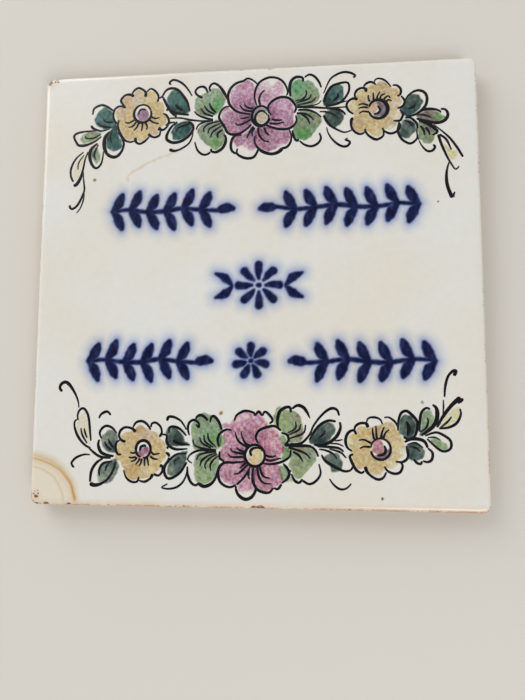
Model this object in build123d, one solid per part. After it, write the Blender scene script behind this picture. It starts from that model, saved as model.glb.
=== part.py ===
"""Square glazed earthenware wall plaque: one tile, pressed, glazed, painted and fired as one piece.

It lies on its flat back with the painted face up. The origin is the centre of the back,
+X runs across the face to the right, +Y runs up the picture and +Z points out of the face.
All sizes are in millimetres.
"""

import os

from build123d import *

# The pressed body
plaque_width = 150.0  # along X
plaque_height = 150.0  # along Y
plaque_thickness = 7.0  # along Z, from the back to the face
corner_radius = 2.4  # the four corners, seen from the front

# The edges
edge_roll_radius = 1.8  # round front edge that the glaze runs over
back_arris = 0.6  # small bevel that keeps the back edge from chipping


def pressed_body():
    """The plain square blank, with its corners rounded, standing on its back."""
    outline = RectangleRounded(plaque_width, plaque_height, corner_radius)
    return extrude(outline, amount=plaque_thickness)


def edges_at(body, height):
    """The outer edges of the body that lie wholly at this height."""
    return body.edges().filter_by_position(Axis.Z, height, height)


def plaque():
    """The finished plaque: a rolled edge round its face and a small bevel round its back."""
    body = pressed_body()
    body = fillet(edges_at(body, plaque_thickness), edge_roll_radius)
    return chamfer(edges_at(body, 0), back_arris)


os.makedirs("parts", exist_ok=True)
export_step(plaque(), "parts/plaque.step")
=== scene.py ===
import bpy
import numpy as np
from mathutils import Matrix, Vector


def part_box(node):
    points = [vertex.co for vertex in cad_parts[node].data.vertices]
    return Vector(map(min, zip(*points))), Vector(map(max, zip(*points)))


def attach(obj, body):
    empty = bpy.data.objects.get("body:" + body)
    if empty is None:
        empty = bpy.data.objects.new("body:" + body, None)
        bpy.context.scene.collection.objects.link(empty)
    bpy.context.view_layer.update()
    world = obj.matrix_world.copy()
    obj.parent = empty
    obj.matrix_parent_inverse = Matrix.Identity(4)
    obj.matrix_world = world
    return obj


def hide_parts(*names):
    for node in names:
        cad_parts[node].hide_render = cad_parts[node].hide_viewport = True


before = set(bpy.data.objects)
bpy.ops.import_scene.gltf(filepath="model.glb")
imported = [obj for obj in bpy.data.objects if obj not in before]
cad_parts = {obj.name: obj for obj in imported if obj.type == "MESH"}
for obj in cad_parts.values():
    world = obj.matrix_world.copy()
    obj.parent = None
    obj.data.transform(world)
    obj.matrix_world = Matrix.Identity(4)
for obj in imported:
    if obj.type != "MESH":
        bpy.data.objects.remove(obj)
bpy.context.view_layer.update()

# The plaque: one square of earthenware, pressed, fired, dipped face down in white tin glaze and
# fired again. The glaze runs thin over the rolled front edge and stops part of the way down the
# sides. The sides below it and the back are bare clay, and knocks have chipped the glazed edge.

MM = 0.001
low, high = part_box("plaque")
half_side = (high.x - low.x) / 2
face_top = high.z
corner_radius = 2.4 * MM
roll_radius = 1.8 * MM
back_arris = 0.6 * MM
glaze_sink = 0.10 * MM  # the face lies this far under the top of the pressed body, to leave the paint room
glaze_wave = 0.02 * MM  # how far the poured glaze swells and sinks over its surface
glaze_swell = 32 * MM  # and how far it is from one swell to the next
edge_spacing = 0.5 * MM
chip_drop = 0.5 * MM  # the middle of a knock lies this far below the face
chip_grain = 0.9 * MM  # size of the lumps on the floor of a chip
bare_depth = 0.22 * MM  # a chip this deep is right through the glaze
chips = (  # x, y, reach and depth of each knock on the front edge, in millimetres
    (-74.6, 74.2, 1.5, 0.5), (-73.2, 74.6, 0.9, 0.4), (-71.0, 74.8, 1.0, 0.45), (-69.9, 74.8, 0.7, 0.4),
    (-4.4, 75.0, 0.9, 0.55), (5.6, 75.0, 1.1, 0.6),
    (-74.4, -74.6, 1.3, 0.7), (-74.9, -71.6, 0.8, 0.4), (-72.6, -74.9, 0.8, 0.4), (-69.2, -75.0, 1.2, 0.6),
    (-61.4, -75.0, 1.0, 0.5), (-48.0, -75.0, 0.7, 0.3), (-22.5, -75.0, 0.8, 0.3),
    (0.6, -75.0, 1.3, 0.5), (2.8, -75.0, 1.5, 0.5), (31.0, -75.0, 0.8, 0.3), (58.5, -75.0, 0.7, 0.3),
    (75.0, 38.0, 0.6, 0.25), (75.0, -22.0, 0.7, 0.3), (74.6, -74.5, 1.0, 0.4),
)
old_marks = (  # x, y and size of the dirt-filled pits near the edges, in millimetres
    (-73.4, 72.4, 0.6), (-72.9, 73.1, 0.6), (-71.3, 73.2, 0.45), (-70.3, 73.2, 0.5),
    (-72.7, -72.1, 0.6), (-72.1, -72.2, 0.4), (-71.9, -71.2, 0.35), (-72.1, -70.2, 0.25),
    (-73.4, -71.3, 0.35), (-73.0, -70.4, 0.2), (-74.2, -72.4, 0.2), (56.1, -74.0, 0.2),
)


def ripple(x, y, size, seed):
    """Smooth uneven swell of about -1 to 1: sixteen plane sine waves of this wavelength, each turned
    and shifted by its own seeded draw, added up."""
    draw = np.random.default_rng(seed)
    turn, shift = draw.uniform(0, 2 * np.pi, (2, 16))
    wave = 2 * np.pi / (size * draw.uniform(0.6, 1.6, 16))
    across = np.multiply.outer(x, wave * np.cos(turn)) + np.multiply.outer(y, wave * np.sin(turn))
    return np.sin(across + shift).sum(-1) / 5


def glaze_level(x, y):
    """Height of the glazed face: level, less its sink, with a gentle swell two finger-widths long."""
    return face_top - glaze_sink + glaze_wave * ripple(x, y, glaze_swell, seed=3)


def perimeter(spacing, corner_steps):
    """Walks once round the rounded square, anticlockwise from the lower right corner. Gives the
    centre that each point swings about, and its outward direction: along a side the centre slides
    and the direction holds, and at a corner the centre holds and the direction turns a quarter."""
    core = half_side - corner_radius
    side_steps = int(2 * core / spacing)
    slide = np.concatenate([np.linspace(-core, core, side_steps), np.full(corner_steps, core)])
    swing = np.linspace(0, np.pi / 2, corner_steps + 1)[1:]
    angle = np.concatenate([np.zeros(side_steps), swing])
    quarter = np.arange(4)[:, None] * np.pi / 2
    out = np.stack([np.cos(quarter + angle), np.sin(quarter + angle)], -1)
    flat_x, flat_y = np.full_like(slide, core), slide
    centre = np.stack([
        flat_x * np.cos(quarter) - flat_y * np.sin(quarter),
        flat_x * np.sin(quarter) + flat_y * np.cos(quarter),
    ], -1)
    return centre.reshape(-1, 2), out.reshape(-1, 2)


def pressed_tile():
    """Rings of the rounded square: out from the middle of the face by scaling, down the roll as a
    quarter circle, down the side, in over the back arris, and back to the middle. Chips then push
    points in along the surface's own direction by a bowl with a broken floor. Gives the corners,
    faces, and how bare each corner is where a chip has taken the glaze."""
    centre, out = perimeter(edge_spacing, 8)
    bend = np.linspace(0, np.pi / 2, 13)
    spread = np.concatenate([np.linspace(0.05, 0.95, 24), [0.965, 0.98, 0.99]])
    down = np.linspace(face_top - roll_radius, back_arris, 9)[1:]
    bevel = np.linspace(0, back_arris, 4)[1:]
    inner = np.linspace(0.99, 0.06, 8)
    scale = np.concatenate([spread, np.ones(len(bend) + len(down) + len(bevel)), inner])
    inset = np.concatenate([
        np.full(len(spread), roll_radius), roll_radius * (1 - np.sin(bend)),
        np.zeros(len(down)), bevel, np.full(len(inner), back_arris),
    ])
    height = np.concatenate([
        np.full(len(spread), face_top), face_top - roll_radius * (1 - np.cos(bend)),
        down, back_arris - bevel, np.zeros(len(inner)),
    ])
    lean = np.concatenate([
        np.zeros(len(spread)), bend, np.full(len(down) + len(bevel) + len(inner), np.pi / 2),
    ])
    plan = centre + (corner_radius - inset)[:, None, None] * out
    plan = plan * scale[:, None, None]
    level = np.broadcast_to(height[:, None], plan.shape[:2]).copy()
    share = np.clip((level - face_top + roll_radius) / roll_radius, 0, 1)
    level += share * (glaze_level(plan[..., 0], plan[..., 1]) - face_top)
    bite = np.zeros_like(level)
    for x, y, reach, depth in chips:
        away = np.hypot(plan[..., 0] - x * MM, plan[..., 1] - y * MM)
        away = np.hypot(away, level - face_top + chip_drop) / (reach * MM)
        bite = np.maximum(bite, depth * MM * np.clip(1.15 - away ** 2, 0, 1))
    rough = 1 + 0.45 * ripple(plan[..., 0] + level, plan[..., 1] - level, chip_grain, seed=8)
    bite = bite * np.clip(rough, 0.2, 2)
    plan = plan - (bite * np.sin(lean)[:, None])[..., None] * out
    level = level - bite * np.cos(lean)[:, None]
    rings = np.concatenate([plan, level[..., None]], -1)
    around = rings.shape[1]
    poles = np.array([[[0, 0, glaze_level(0.0, 0.0)]], [[0, 0, 0]]])
    corners = np.concatenate([poles[0], rings.reshape(-1, 3), poles[1]])
    here = 1 + np.arange(rings.shape[0] * around).reshape(-1, around)
    after = np.roll(here, -1, 1)
    walls = np.stack([here[:-1], here[1:], after[1:], after[:-1]], -1).reshape(-1, 4)
    front = np.stack([np.zeros(around, int), here[0], after[0]], -1)
    back = np.stack([np.full(around, len(corners) - 1), after[-1], here[-1]], -1)
    bare = np.concatenate([[0], np.clip(bite / bare_depth, 0, 1).ravel(), [0]])
    return corners, walls.tolist() + front.tolist() + back.tolist(), bare


def mesh_piece(name, corners, faces, material, slot, **layers):
    """Puts corners and faces into a smooth mesh that rides on the part, with one point attribute
    for each further array: three columns make a colour, one a number."""
    mesh = bpy.data.meshes.new(name)
    mesh.from_pydata(np.asarray(corners).tolist(), [], faces)
    mesh.polygons.foreach_set("use_smooth", np.ones(len(mesh.polygons), bool))
    for key, values in layers.items():
        if values.ndim == 2:
            values = np.concatenate([values, np.ones((len(values), 1))], 1)
            layer = mesh.attributes.new(key, "FLOAT_COLOR", "POINT")
            layer.data.foreach_set("color", values.astype(np.float32).ravel())
        else:
            layer = mesh.attributes.new(key, "FLOAT", "POINT")
            layer.data.foreach_set("value", values.astype(np.float32))
    mesh.materials.append(material)
    piece = bpy.data.objects.new(name, mesh)
    bpy.context.scene.collection.objects.link(piece)
    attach(piece, "root")
    return piece


def linear(colour):
    """Linear light for an sRGB hex colour such as "#DAD8D2"."""
    share = np.array([int(colour[i:i + 2], 16) for i in (1, 3, 5)]) / 255
    return np.where(share <= 0.04045, share / 12.92, ((share + 0.055) / 1.055) ** 2.4)


def rgba(colour):
    """A hex colour as a shader socket takes it: linear red, green and blue, and full alpha."""
    return (*linear(colour), 1)


def add(tree, kind, sockets=(), **settings):
    """Adds one shader node, sets its properties, and fills each named or numbered input with a value
    or with a wire from another node's output."""
    made = tree.nodes.new("ShaderNode" + kind)
    for name, value in settings.items():
        setattr(made, name, value)
    for socket, value in dict(sockets).items():
        if isinstance(value, bpy.types.NodeSocket):
            tree.links.new(value, made.inputs[socket])
        else:
            made.inputs[socket].default_value = value
    return made


def new_surface(name, roughness, **sockets):
    """A named material with one Principled shader of this roughness. Returns material, tree, shader."""
    material = bpy.data.materials.new(name)
    material.use_nodes = True
    tree = material.node_tree
    shader = tree.nodes["Principled BSDF"]
    shader.inputs["Roughness"].default_value = roughness
    for socket, value in sockets.items():
        shader.inputs[socket].default_value = value
    return material, tree, shader


glaze_white, glaze_cool, glaze_warm = "#DEDCD6", "#DEDFDC", "#DFDACF"
glaze_roughness, glaze_ior = 0.2, 1.5
worn_roughness, clay_roughness = 0.55, 0.9


def poured_glaze(tree):
    """Opaque white tin glaze: broad warm and cool clouds where it pooled, a fine mist in it, and a skin that
    is very slightly dimpled, so that highlights break up softly. Gives the place, colour and normal."""
    place = add(tree, "TexCoord").outputs["Object"]
    clouds = add(tree, "TexNoise", {
        "Vector": place, "Scale": 1 / (28 * MM), "Detail": 3.0, "Roughness": 0.55,
    }).outputs["Fac"]
    share = add(tree, "MapRange", {"Value": clouds, "From Min": 0.3, "From Max": 0.7}).outputs[0]
    tone = add(tree, "Mix", {0: share, 6: rgba(glaze_cool), 7: rgba(glaze_warm)}, data_type="RGBA").outputs[2]
    mist = add(tree, "TexNoise", {"Vector": place, "Scale": 1 / (2.2 * MM), "Detail": 2.0}).outputs["Fac"]
    veil = add(tree, "MapRange", {"Value": mist, "To Min": 0.965, "To Max": 1.03}).outputs[0]
    white = add(tree, "Mix", {0: 1.0, 6: tone, 7: veil}, data_type="RGBA", blend_type="MULTIPLY").outputs[2]
    dimples = add(tree, "TexNoise", {"Vector": place, "Scale": 1 / (3.5 * MM), "Detail": 2.0}).outputs["Fac"]
    skin = add(tree, "Bump", {"Height": dimples, "Distance": 0.02 * MM, "Strength": 0.6}).outputs["Normal"]
    return place, white, skin


spill_reach = 20 * MM
spill_shape = np.array([0.955, 1.0, 0.0])  # it ran a little further along the lower edge
spill_sway = 0.6 * MM
first_drop = (  # share of the reach from the corner, and the tone that the dried drop gives the glaze there
    (0.0, "#FEF9F0"), (0.61, "#FDF6EA"), (0.69, "#FCF0DE"), (0.745, "#F4E2C6"), (0.76, "#D6B586"),
    (0.775, "#F1DDBC"), (0.81, "#FFFFFF"),
)
second_drop = (
    (0.0, "#FFFFFF"), (0.53, "#FFFFFF"), (0.565, "#F3EADB"), (0.59, "#FFFFFF"), (0.70, "#FFFFFF"),
    (0.735, "#F8ECD8"), (0.748, "#EAD5B5"), (0.762, "#F1E0C6"), (0.80, "#F8EEDF"), (0.865, "#FFFFFF"),
)
second_rise = 1.3 * MM  # the second drop's middle lies this far up the side from the corner
thin_glaze, handled_brown, pit_brown, rubbed_brown = "#D9CCB6", "#D9C6AE", "#745A3E", "#B08A6C"
clay_dark, clay_light, chip_dark, chip_light = "#A98763", "#D2B893", "#5E4630", "#B69270"


def tin_glazed_earthenware():
    """Buff clay under white glaze. The glaze is white and glossy on the face, warm where it thins over
    the rolled edge, and gone below a wandering line on the sides and in the chips, where the clay is
    dull and sandy. A spill has dried to tan rings round one corner."""
    material, tree, shader = new_surface("tin_glazed_earthenware", glaze_roughness, IOR=glaze_ior)
    place, white, skin = poured_glaze(tree)
    axes = add(tree, "SeparateXYZ", {0: place})
    up_face, height = axes.outputs["Y"], axes.outputs["Z"]
    wander = add(tree, "TexNoise", {"Vector": place, "Scale": 1 / (6 * MM), "Detail": 4.0}).outputs["Fac"]
    grit = add(tree, "TexNoise", {"Vector": place, "Scale": 1 / (0.7 * MM), "Detail": 4.0}).outputs["Fac"]

    # the dried spill: two drops by the lower left corner, each with rings at a radius that wanders slightly
    flat = add(tree, "VectorMath", {0: place, 1: spill_shape}, operation="MULTIPLY").outputs[0]
    sway = add(tree, "MapRange", {"Value": wander, "To Min": -spill_sway, "To Max": spill_sway}).outputs[0]
    stained = white
    for rise, tones in ((0.0, first_drop), (second_rise, second_drop)):
        middle = -half_side * spill_shape + np.array([0, rise, 0])
        reach = add(tree, "VectorMath", {0: flat, 1: middle}, operation="DISTANCE").outputs["Value"]
        radius = add(tree, "Math", {0: reach, 1: sway}, operation="ADD").outputs[0]
        share = add(tree, "Math", {0: radius, 1: spill_reach}, operation="DIVIDE").outputs[0]
        rings = add(tree, "ValToRGB", {"Fac": share})
        ramp = rings.color_ramp
        for position, tone in tones[1:-1]:
            ramp.elements.new(position).color = rgba(tone)
        for end in (0, -1):
            ramp.elements[end].position = tones[end][0]
            ramp.elements[end].color = rgba(tones[end][1])
        stained = add(
            tree, "Mix", {0: 1.0, 6: stained, 7: rings.outputs[0]}, data_type="RGBA", blend_type="MULTIPLY"
        ).outputs[2]

    # the rolled edge, where the glaze runs thin and the warm clay shows through
    over_edge = add(tree, "MapRange", {
        "Value": height, "From Min": face_top - 0.14 * MM, "From Max": face_top - 0.9 * MM,
    }, interpolation_type="SMOOTHSTEP").outputs[0]
    thin = add(tree, "Math", {0: over_edge, 1: 0.8}, operation="MULTIPLY").outputs[0]
    rolled = add(tree, "Mix", {0: thin, 6: stained, 7: rgba(thin_glaze)}, data_type="RGBA").outputs[2]

    # the face is browned beside the lower edge and at the left corners, where it is held
    touched = add(tree, "MapRange", {
        "Value": up_face, "From Min": -half_side + 3 * MM, "From Max": -half_side + 0.4 * MM,
    }, interpolation_type="SMOOTHSTEP").outputs[0]
    plan = add(tree, "VectorMath", {0: place, 1: (1, 1, 0)}, operation="MULTIPLY").outputs[0]
    for corner in ((-half_side, half_side, 0), (-half_side, -half_side, 0)):
        held = add(tree, "VectorMath", {0: plan, 1: corner}, operation="DISTANCE").outputs["Value"]
        thumb = add(tree, "MapRange", {"Value": held, "From Min": 6.5 * MM, "From Max": 3 * MM}).outputs[0]
        touched = add(tree, "Math", {0: touched, 1: thumb}, operation="MAXIMUM").outputs[0]
    uneven = add(tree, "MapRange", {
        "Value": wander, "From Min": 0.35, "From Max": 0.65, "To Min": 0.55,
    }).outputs[0]
    brown = add(tree, "Math", {0: touched, 1: uneven}, operation="MULTIPLY").outputs[0]
    marked = add(tree, "Mix", {0: brown, 6: rolled, 7: rgba(handled_brown)}, data_type="RGBA").outputs[2]
    for x, y, size in old_marks:
        pit = (x * MM, y * MM, 0)
        away = add(tree, "VectorMath", {0: plan, 1: pit}, operation="DISTANCE").outputs["Value"]
        ragged = add(tree, "Math", {0: wander, 1: 0.5 * MM, 2: away}, operation="MULTIPLY_ADD").outputs[0]
        dirty = add(tree, "MapRange", {
            "Value": ragged, "From Min": (size + 0.35) * MM, "From Max": size * MM,
        }).outputs[0]
        marked = add(tree, "Mix", {0: dirty, 6: marked, 7: rgba(pit_brown)}, data_type="RGBA").outputs[2]

    # handling has rubbed the roll through in specks, most along the lower edge
    lower = add(tree, "MapRange", {
        "Value": up_face, "From Min": -half_side + 3 * MM, "From Max": -half_side, "To Max": 0.22,
    }).outputs[0]
    wear = add(tree, "Math", {0: wander, 1: lower}, operation="ADD").outputs[0]
    specks = add(tree, "Math", {0: grit, 1: wear}, operation="MULTIPLY").outputs[0]
    rubbed = add(tree, "MapRange", {"Value": specks, "From Min": 0.29, "From Max": 0.36}).outputs[0]
    patches = add(tree, "Math", {0: rubbed, 1: over_edge}, operation="MULTIPLY").outputs[0]
    edged = add(tree, "Mix", {0: patches, 6: marked, 7: rgba(rubbed_brown)}, data_type="RGBA").outputs[2]

    # bare clay: below the glaze line, and in chips
    line = add(tree, "MapRange", {"Value": wander, "To Min": 1.2 * MM, "To Max": 4.2 * MM}).outputs[0]
    under = add(tree, "Math", {0: line, 1: height}, operation="SUBTRACT").outputs[0]
    below = add(tree, "MapRange", {"Value": under, "From Min": -0.1 * MM, "From Max": 0.1 * MM}).outputs[0]
    knocked = add(tree, "Attribute", attribute_name="bare").outputs["Fac"]
    chipped = add(tree, "MapRange", {"Value": knocked, "From Min": 0.35, "From Max": 0.75}).outputs[0]
    bare = add(tree, "Math", {0: below, 1: chipped}, operation="MAXIMUM").outputs[0]
    clay = add(tree, "Mix", {0: grit, 6: rgba(clay_dark), 7: rgba(clay_light)}, data_type="RGBA").outputs[2]
    grime = add(tree, "MapRange", {"Value": grit, "From Min": 0.4, "From Max": 0.6}).outputs[0]
    old = add(tree, "Mix", {0: grime, 6: rgba(chip_dark), 7: rgba(chip_light)}, data_type="RGBA").outputs[2]
    body = add(tree, "Mix", {0: chipped, 6: clay, 7: old}, data_type="RGBA").outputs[2]
    colour = add(tree, "Mix", {0: bare, 6: edged, 7: body}, data_type="RGBA").outputs[2]
    dull = add(tree, "MapRange", {
        "Value": over_edge, "To Min": glaze_roughness, "To Max": worn_roughness,
    }).outputs[0]
    rough = add(tree, "MapRange", {"Value": bare, "To Min": dull, "To Max": clay_roughness}).outputs[0]
    sandy = add(tree, "Bump", {
        "Height": grit, "Distance": 0.12 * MM, "Strength": bare, "Normal": skin,
    }).outputs["Normal"]
    tree.links.new(colour, shader.inputs["Base Color"])
    tree.links.new(rough, shader.inputs["Roughness"])
    tree.links.new(sandy, shader.inputs["Normal"])
    return material


tile_corners, tile_faces, tile_bare = pressed_tile()
tile = mesh_piece(
    "glazed_tile", tile_corners, tile_faces, tin_glazed_earthenware(), "white_glaze", bare=tile_bare
)
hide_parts("plaque")

# The colours of the head garland: thin washes of metal oxide brushed on the raw white glaze, so that
# the firing sinks them into it. Each is one wet patch, denser where the brush lingered, that keeps
# clear of the drawn outline here and there and leaves white glaze between.

rose, rose_mid, rose_deep = "#AE859D", "#A17A8E", "#8E667E"
rose_light, rose_pale, rose_white = "#C19DAF", "#C6AAB8", "#D1C2C8"
pink, pink_mid, pink_deep = "#B5879A", "#A47B88", "#95677C"
pink_light, pink_pale, blush = "#C097A5", "#CBA3B2", "#AC8182"
mauve, plum, lilac_grey = "#93778A", "#796A76", "#8E8A8E"
ochre, tan, amber, straw = "#C1AD82", "#B29D7A", "#B8996B", "#CCBD94"
sand, peach, buff, grey_tan = "#CDBBA0", "#C1AB96", "#BAAE9C", "#C4BBAC"
cream, ivory = "#CDC7A6", "#D4CDB9"
leaf_green, leaf_light, leaf_grey = "#83987A", "#8C9D77", "#90A086"
leaf_bright, leaf_cool, leaf_vivid, leaf_fresh = "#5B9259", "#62946A", "#52894F", "#6D965C"
leaf_moss, leaf_olive, leaf_brown, leaf_stone = "#7D8C6F", "#80846E", "#868070", "#828A7C"
sage, sage_dark, drab = "#6F7971", "#62706A", "#746D64"
teal, teal_mid, teal_deep = "#4B6B69", "#3F5E5B", "#2C4745"
slate, slate_deep, ink_green = "#4C5B55", "#364843", "#293736"
rust, soot = "#8F7659", "#524B44"

drawing_unit = 0.9925 * MM  # the drawing is set out in 150ths of the square that shows inside the roll
drawing_drop = 0.26 * MM  # and the painter laid it in this far below the middle
span_steps, outline_steps = 24, 90  # points worked out on each span of a curve, and kept round an outline


def on_face(points):
    """Takes points from drawing units, counted from the middle of the drawing, to metres on the face."""
    return points * drawing_unit - np.array([0, drawing_drop])


def curve_through(points, count, closed=False):
    """A smooth line through given points: on each span, the cubic whose slope at a point runs along
    the chord between that point's neighbours. Sampled evenly along its length, in whole arrays."""
    knots = np.asarray(points, float)
    if closed:
        knots = np.concatenate([knots[-1:], knots, knots[:2]])
    else:
        knots = np.concatenate([2 * knots[:1] - knots[1:2], knots, 2 * knots[-1:] - knots[-2:-1]])
    a, b, c, d = knots[:-3, None], knots[1:-2, None], knots[2:-1, None], knots[3:, None]
    t = np.linspace(0, 1, span_steps)[None, :, None]
    bend, twist = a - 2.5 * b + 2 * c - d / 2, 1.5 * (b - c) + (d - a) / 2
    fine = (b + (c - a) * t / 2 + bend * t ** 2 + twist * t ** 3).reshape(-1, 2)
    run = np.concatenate([[0], np.cumsum(np.hypot(*np.diff(fine, axis=0).T))])
    at = np.linspace(0, run[-1], count, endpoint=not closed)
    return np.stack([np.interp(at, run, fine[:, 0]), np.interp(at, run, fine[:, 1])], -1)


grid_step = 0.27  # between the points of a sheet of washes, in drawing units
film_margin = 1.6  # how far the film runs on past the paint, in drawing units
film_sink = 0.012 * MM  # its rim lies this far under the glaze
film_thickness = 0.04 * MM
film_reach = 0.1  # cells where the margin has risen less than this are left out


def blank_sheet(left, right, bottom, top, step):
    """An unpainted stretch of face, as a grid of points in drawing units with nothing on it yet."""
    x, y = np.meshgrid(np.arange(left, right, step), np.arange(bottom, top, step))
    bare = np.zeros(x.shape)
    return {"x": x, "y": y, "stain": np.zeros((*x.shape, 3)), "grain": bare.copy(), "near": bare.copy()}


def absorbed(colour):
    """How much light a full wash of this colour takes from the white glaze: the logarithm of the ratio."""
    return -np.log(np.clip(linear(colour) / linear(glaze_white), 0.004, 0.999))


def smooth_step(value):
    """Eases from 0 to 1 as the value goes from 0 to 1."""
    value = np.clip(value, 0, 1)
    return value * value * (3 - 2 * value)


def window(sheet, path, margin):
    """The part of a sheet's grid that lies within this margin of a path."""
    lowest, highest = path.min(0) - margin, path.max(0) + margin
    columns = (sheet["x"][0] > lowest[0]) & (sheet["x"][0] < highest[0])
    rows = (sheet["y"][:, 0] > lowest[1]) & (sheet["y"][:, 0] < highest[1])
    return np.ix_(rows, columns)


rim_waver, rim_wave = 0.22, 2.6  # how far a wash strays from its outline, and over what length
cloud_depth, cloud_wave = 0.18, 2.4  # how much it thickens and thins inside, and over what length
hue_drift, hue_wave = 0.16, 3.4  # the most that a thin wash drifts in hue, and over what length
hue_turn = np.array([-0.6, 0.1, 1.0])  # the drift goes between cool and warm
spared_edge = 0.5
most_grain = 0.8


def wash(sheet, outline, colour, pools=(), spared=(), grain=1.0, strength=1.0, soft=0.5, run=0.0):
    """One patch of colour inside a smooth outline. Its density rises over the soft edge, with a wavering
    rim, and clouds a little inside, where the hue drifts between warm and cool. Each pool (x, y, reach,
    colour) blends in another pigment as a bell, and each spared round (x, y, reach) stays white. Wet colour
    runs this far past the outline. Grains show most in thin colour, and the film reaches past the paint."""
    loop = curve_through(outline, outline_steps, closed=True)
    part = window(sheet, loop, film_margin)
    x, y = sheet["x"][part], sheet["y"][part]
    after = np.roll(loop, -1, 0)
    away = np.hypot(x[..., None] - loop[:, 0], y[..., None] - loop[:, 1]).min(-1)
    straddles = (loop[:, 1] > y[..., None]) != (after[:, 1] > y[..., None])
    rise = np.where(after[:, 1] == loop[:, 1], 1e-9, after[:, 1] - loop[:, 1])
    crossing = loop[:, 0] + (y[..., None] - loop[:, 1]) * (after[:, 0] - loop[:, 0]) / rise
    inside = (straddles & (x[..., None] < crossing)).sum(-1) % 2 == 1
    depth = np.where(inside, away, -away) + run + rim_waver * ripple(x, y, rim_wave, seed=5)
    clouded = 1 + cloud_depth * ripple(x, y, cloud_wave, seed=11)
    cover = smooth_step(depth / soft + 0.5) * clouded * strength
    for spared_x, spared_y, reach in spared:
        outside = np.hypot(x - spared_x, y - spared_y) - reach
        cover = cover * smooth_step(outside / spared_edge + 0.5)
    ink = np.broadcast_to(absorbed(colour), (*x.shape, 3))
    for pool_x, pool_y, reach, pool_colour in pools:
        bell = np.exp(-((x - pool_x) ** 2 + (y - pool_y) ** 2) / reach ** 2)[..., None]
        ink = ink * (1 - bell) + absorbed(pool_colour) * bell
    thickness = ink.mean(-1)
    drift = np.minimum(np.exp(-3.5 * thickness), hue_drift) * ripple(x, y, hue_wave, seed=13)
    ink = ink * (1 + drift[..., None] * hue_turn)
    sheet["stain"][part] += ink * np.clip(cover, 0, None)[..., None]
    speckle = np.minimum(grain * np.exp(-thickness), most_grain)
    sheet["grain"][part] = np.maximum(sheet["grain"][part], speckle * np.clip(cover, 0, 1))
    sheet["near"][part] = np.maximum(sheet["near"][part], smooth_step(1 + depth / film_margin))


def speck(sheet, x, y, reach, colour):
    """A fleck that came up through the glaze: a small round patch of stain."""
    wash(sheet, [(x - reach, y), (x, y + reach), (x + reach, y), (x, y - reach)], colour, soft=0.4)


def paint_film(name, sheet, material, slot, lift):
    """The painted part of a sheet as a thin closed film: the grid's cells on and near the colour, lifted
    just clear of the glaze, and easing down into it over the bare margin round the paint, so that no step
    shows. Solidify gives it an underside."""
    place = on_face(np.stack([sheet["x"], sheet["y"]], -1))
    level = glaze_level(place[..., 0], place[..., 1]) + (sheet["near"] * (lift + film_sink) - film_sink)
    corners = np.concatenate([place, level[..., None]], -1).reshape(-1, 3)
    index = np.arange(sheet["x"].size).reshape(sheet["x"].shape)
    cells = np.stack([index[:-1, :-1], index[:-1, 1:], index[1:, 1:], index[1:, :-1]], -1).reshape(-1, 4)
    cells = cells[sheet["near"].ravel()[cells].max(1) > film_reach]
    used, faces = np.unique(cells, return_inverse=True)
    film = mesh_piece(
        name, corners[used], faces.reshape(-1, 4).tolist(), material, slot,
        tint=np.exp(-sheet["stain"]).reshape(-1, 3)[used], grain=sheet["grain"].ravel()[used],
    )
    under = film.modifiers.new("underside", "SOLIDIFY")
    under.thickness = film_thickness
    under.offset = -1


def in_glaze_colour(name, grain_size):
    """Oxide colour sunk in the glaze: the white below, filtered by the wash's tint, which speckles where
    the pigment grains have gathered. It shares the glaze's gloss."""
    material, tree, shader = new_surface(name, glaze_roughness, IOR=glaze_ior)
    place, white, skin = poured_glaze(tree)
    tint = add(tree, "Attribute", attribute_name="tint").outputs["Color"]
    grain = add(tree, "Attribute", attribute_name="grain").outputs["Fac"]
    specks = add(tree, "TexNoise", {
        "Vector": place, "Scale": 1 / grain_size, "Detail": 3.0, "Roughness": 0.6,
    }).outputs["Fac"]
    swing = add(tree, "MapRange", {
        "Value": specks, "From Min": 0.3, "From Max": 0.7, "To Min": -1.0, "To Max": 1.0,
    }).outputs[0]
    density = add(tree, "Math", {0: swing, 1: grain, 2: 1.0}, operation="MULTIPLY_ADD").outputs[0]
    dyed = add(tree, "Gamma", {"Color": tint, "Gamma": density}).outputs[0]
    colour = add(tree, "Mix", {0: 1.0, 6: white, 7: dyed}, data_type="RGBA", blend_type="MULTIPLY").outputs[2]
    tree.links.new(colour, shader.inputs["Base Color"])
    tree.links.new(skin, shader.inputs["Normal"])
    return material


wash_lift = 0.016 * MM  # how far the washes stand above the glaze
oxide_washes = in_glaze_colour("in_glaze_oxide_washes", 1.0 * MM)
head = blank_sheet(-68, 72, 24, 74, grid_step)

# left sprig: small leaves, then the two blue-green leaves
wash(head, [(-62, 52), (-59.5, 54.6), (-55.4, 54.4), (-54.4, 53.5), (-55.5, 52.1), (-59.6, 50.6)],
     leaf_grey, [(-57, 54, 1.8, leaf_olive)], strength=0.95)
wash(head, [(-55.9, 48.9), (-54.6, 47), (-54.2, 45.2), (-54.9, 43.4), (-56, 43), (-57.8, 46.2),
            (-57, 48.4)], leaf_grey, [(-57.4, 46.2, 1.3, slate)])
wash(head, [(-60.2, 46.5), (-62.6, 44), (-63.9, 40), (-63.2, 37), (-61.6, 39.5)], cream, strength=0.5)
wash(head, [(-56.7, 59.6), (-54.5, 63), (-52.9, 63.4), (-51.3, 62.6), (-50.3, 61.2), (-50.2, 59.6),
            (-48.8, 57), (-52.2, 55.3), (-55.6, 56.7)],
     teal, [(-51.4, 57, 2.2, teal_mid), (-50.4, 61.6, 1.4, teal_deep)])
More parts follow.
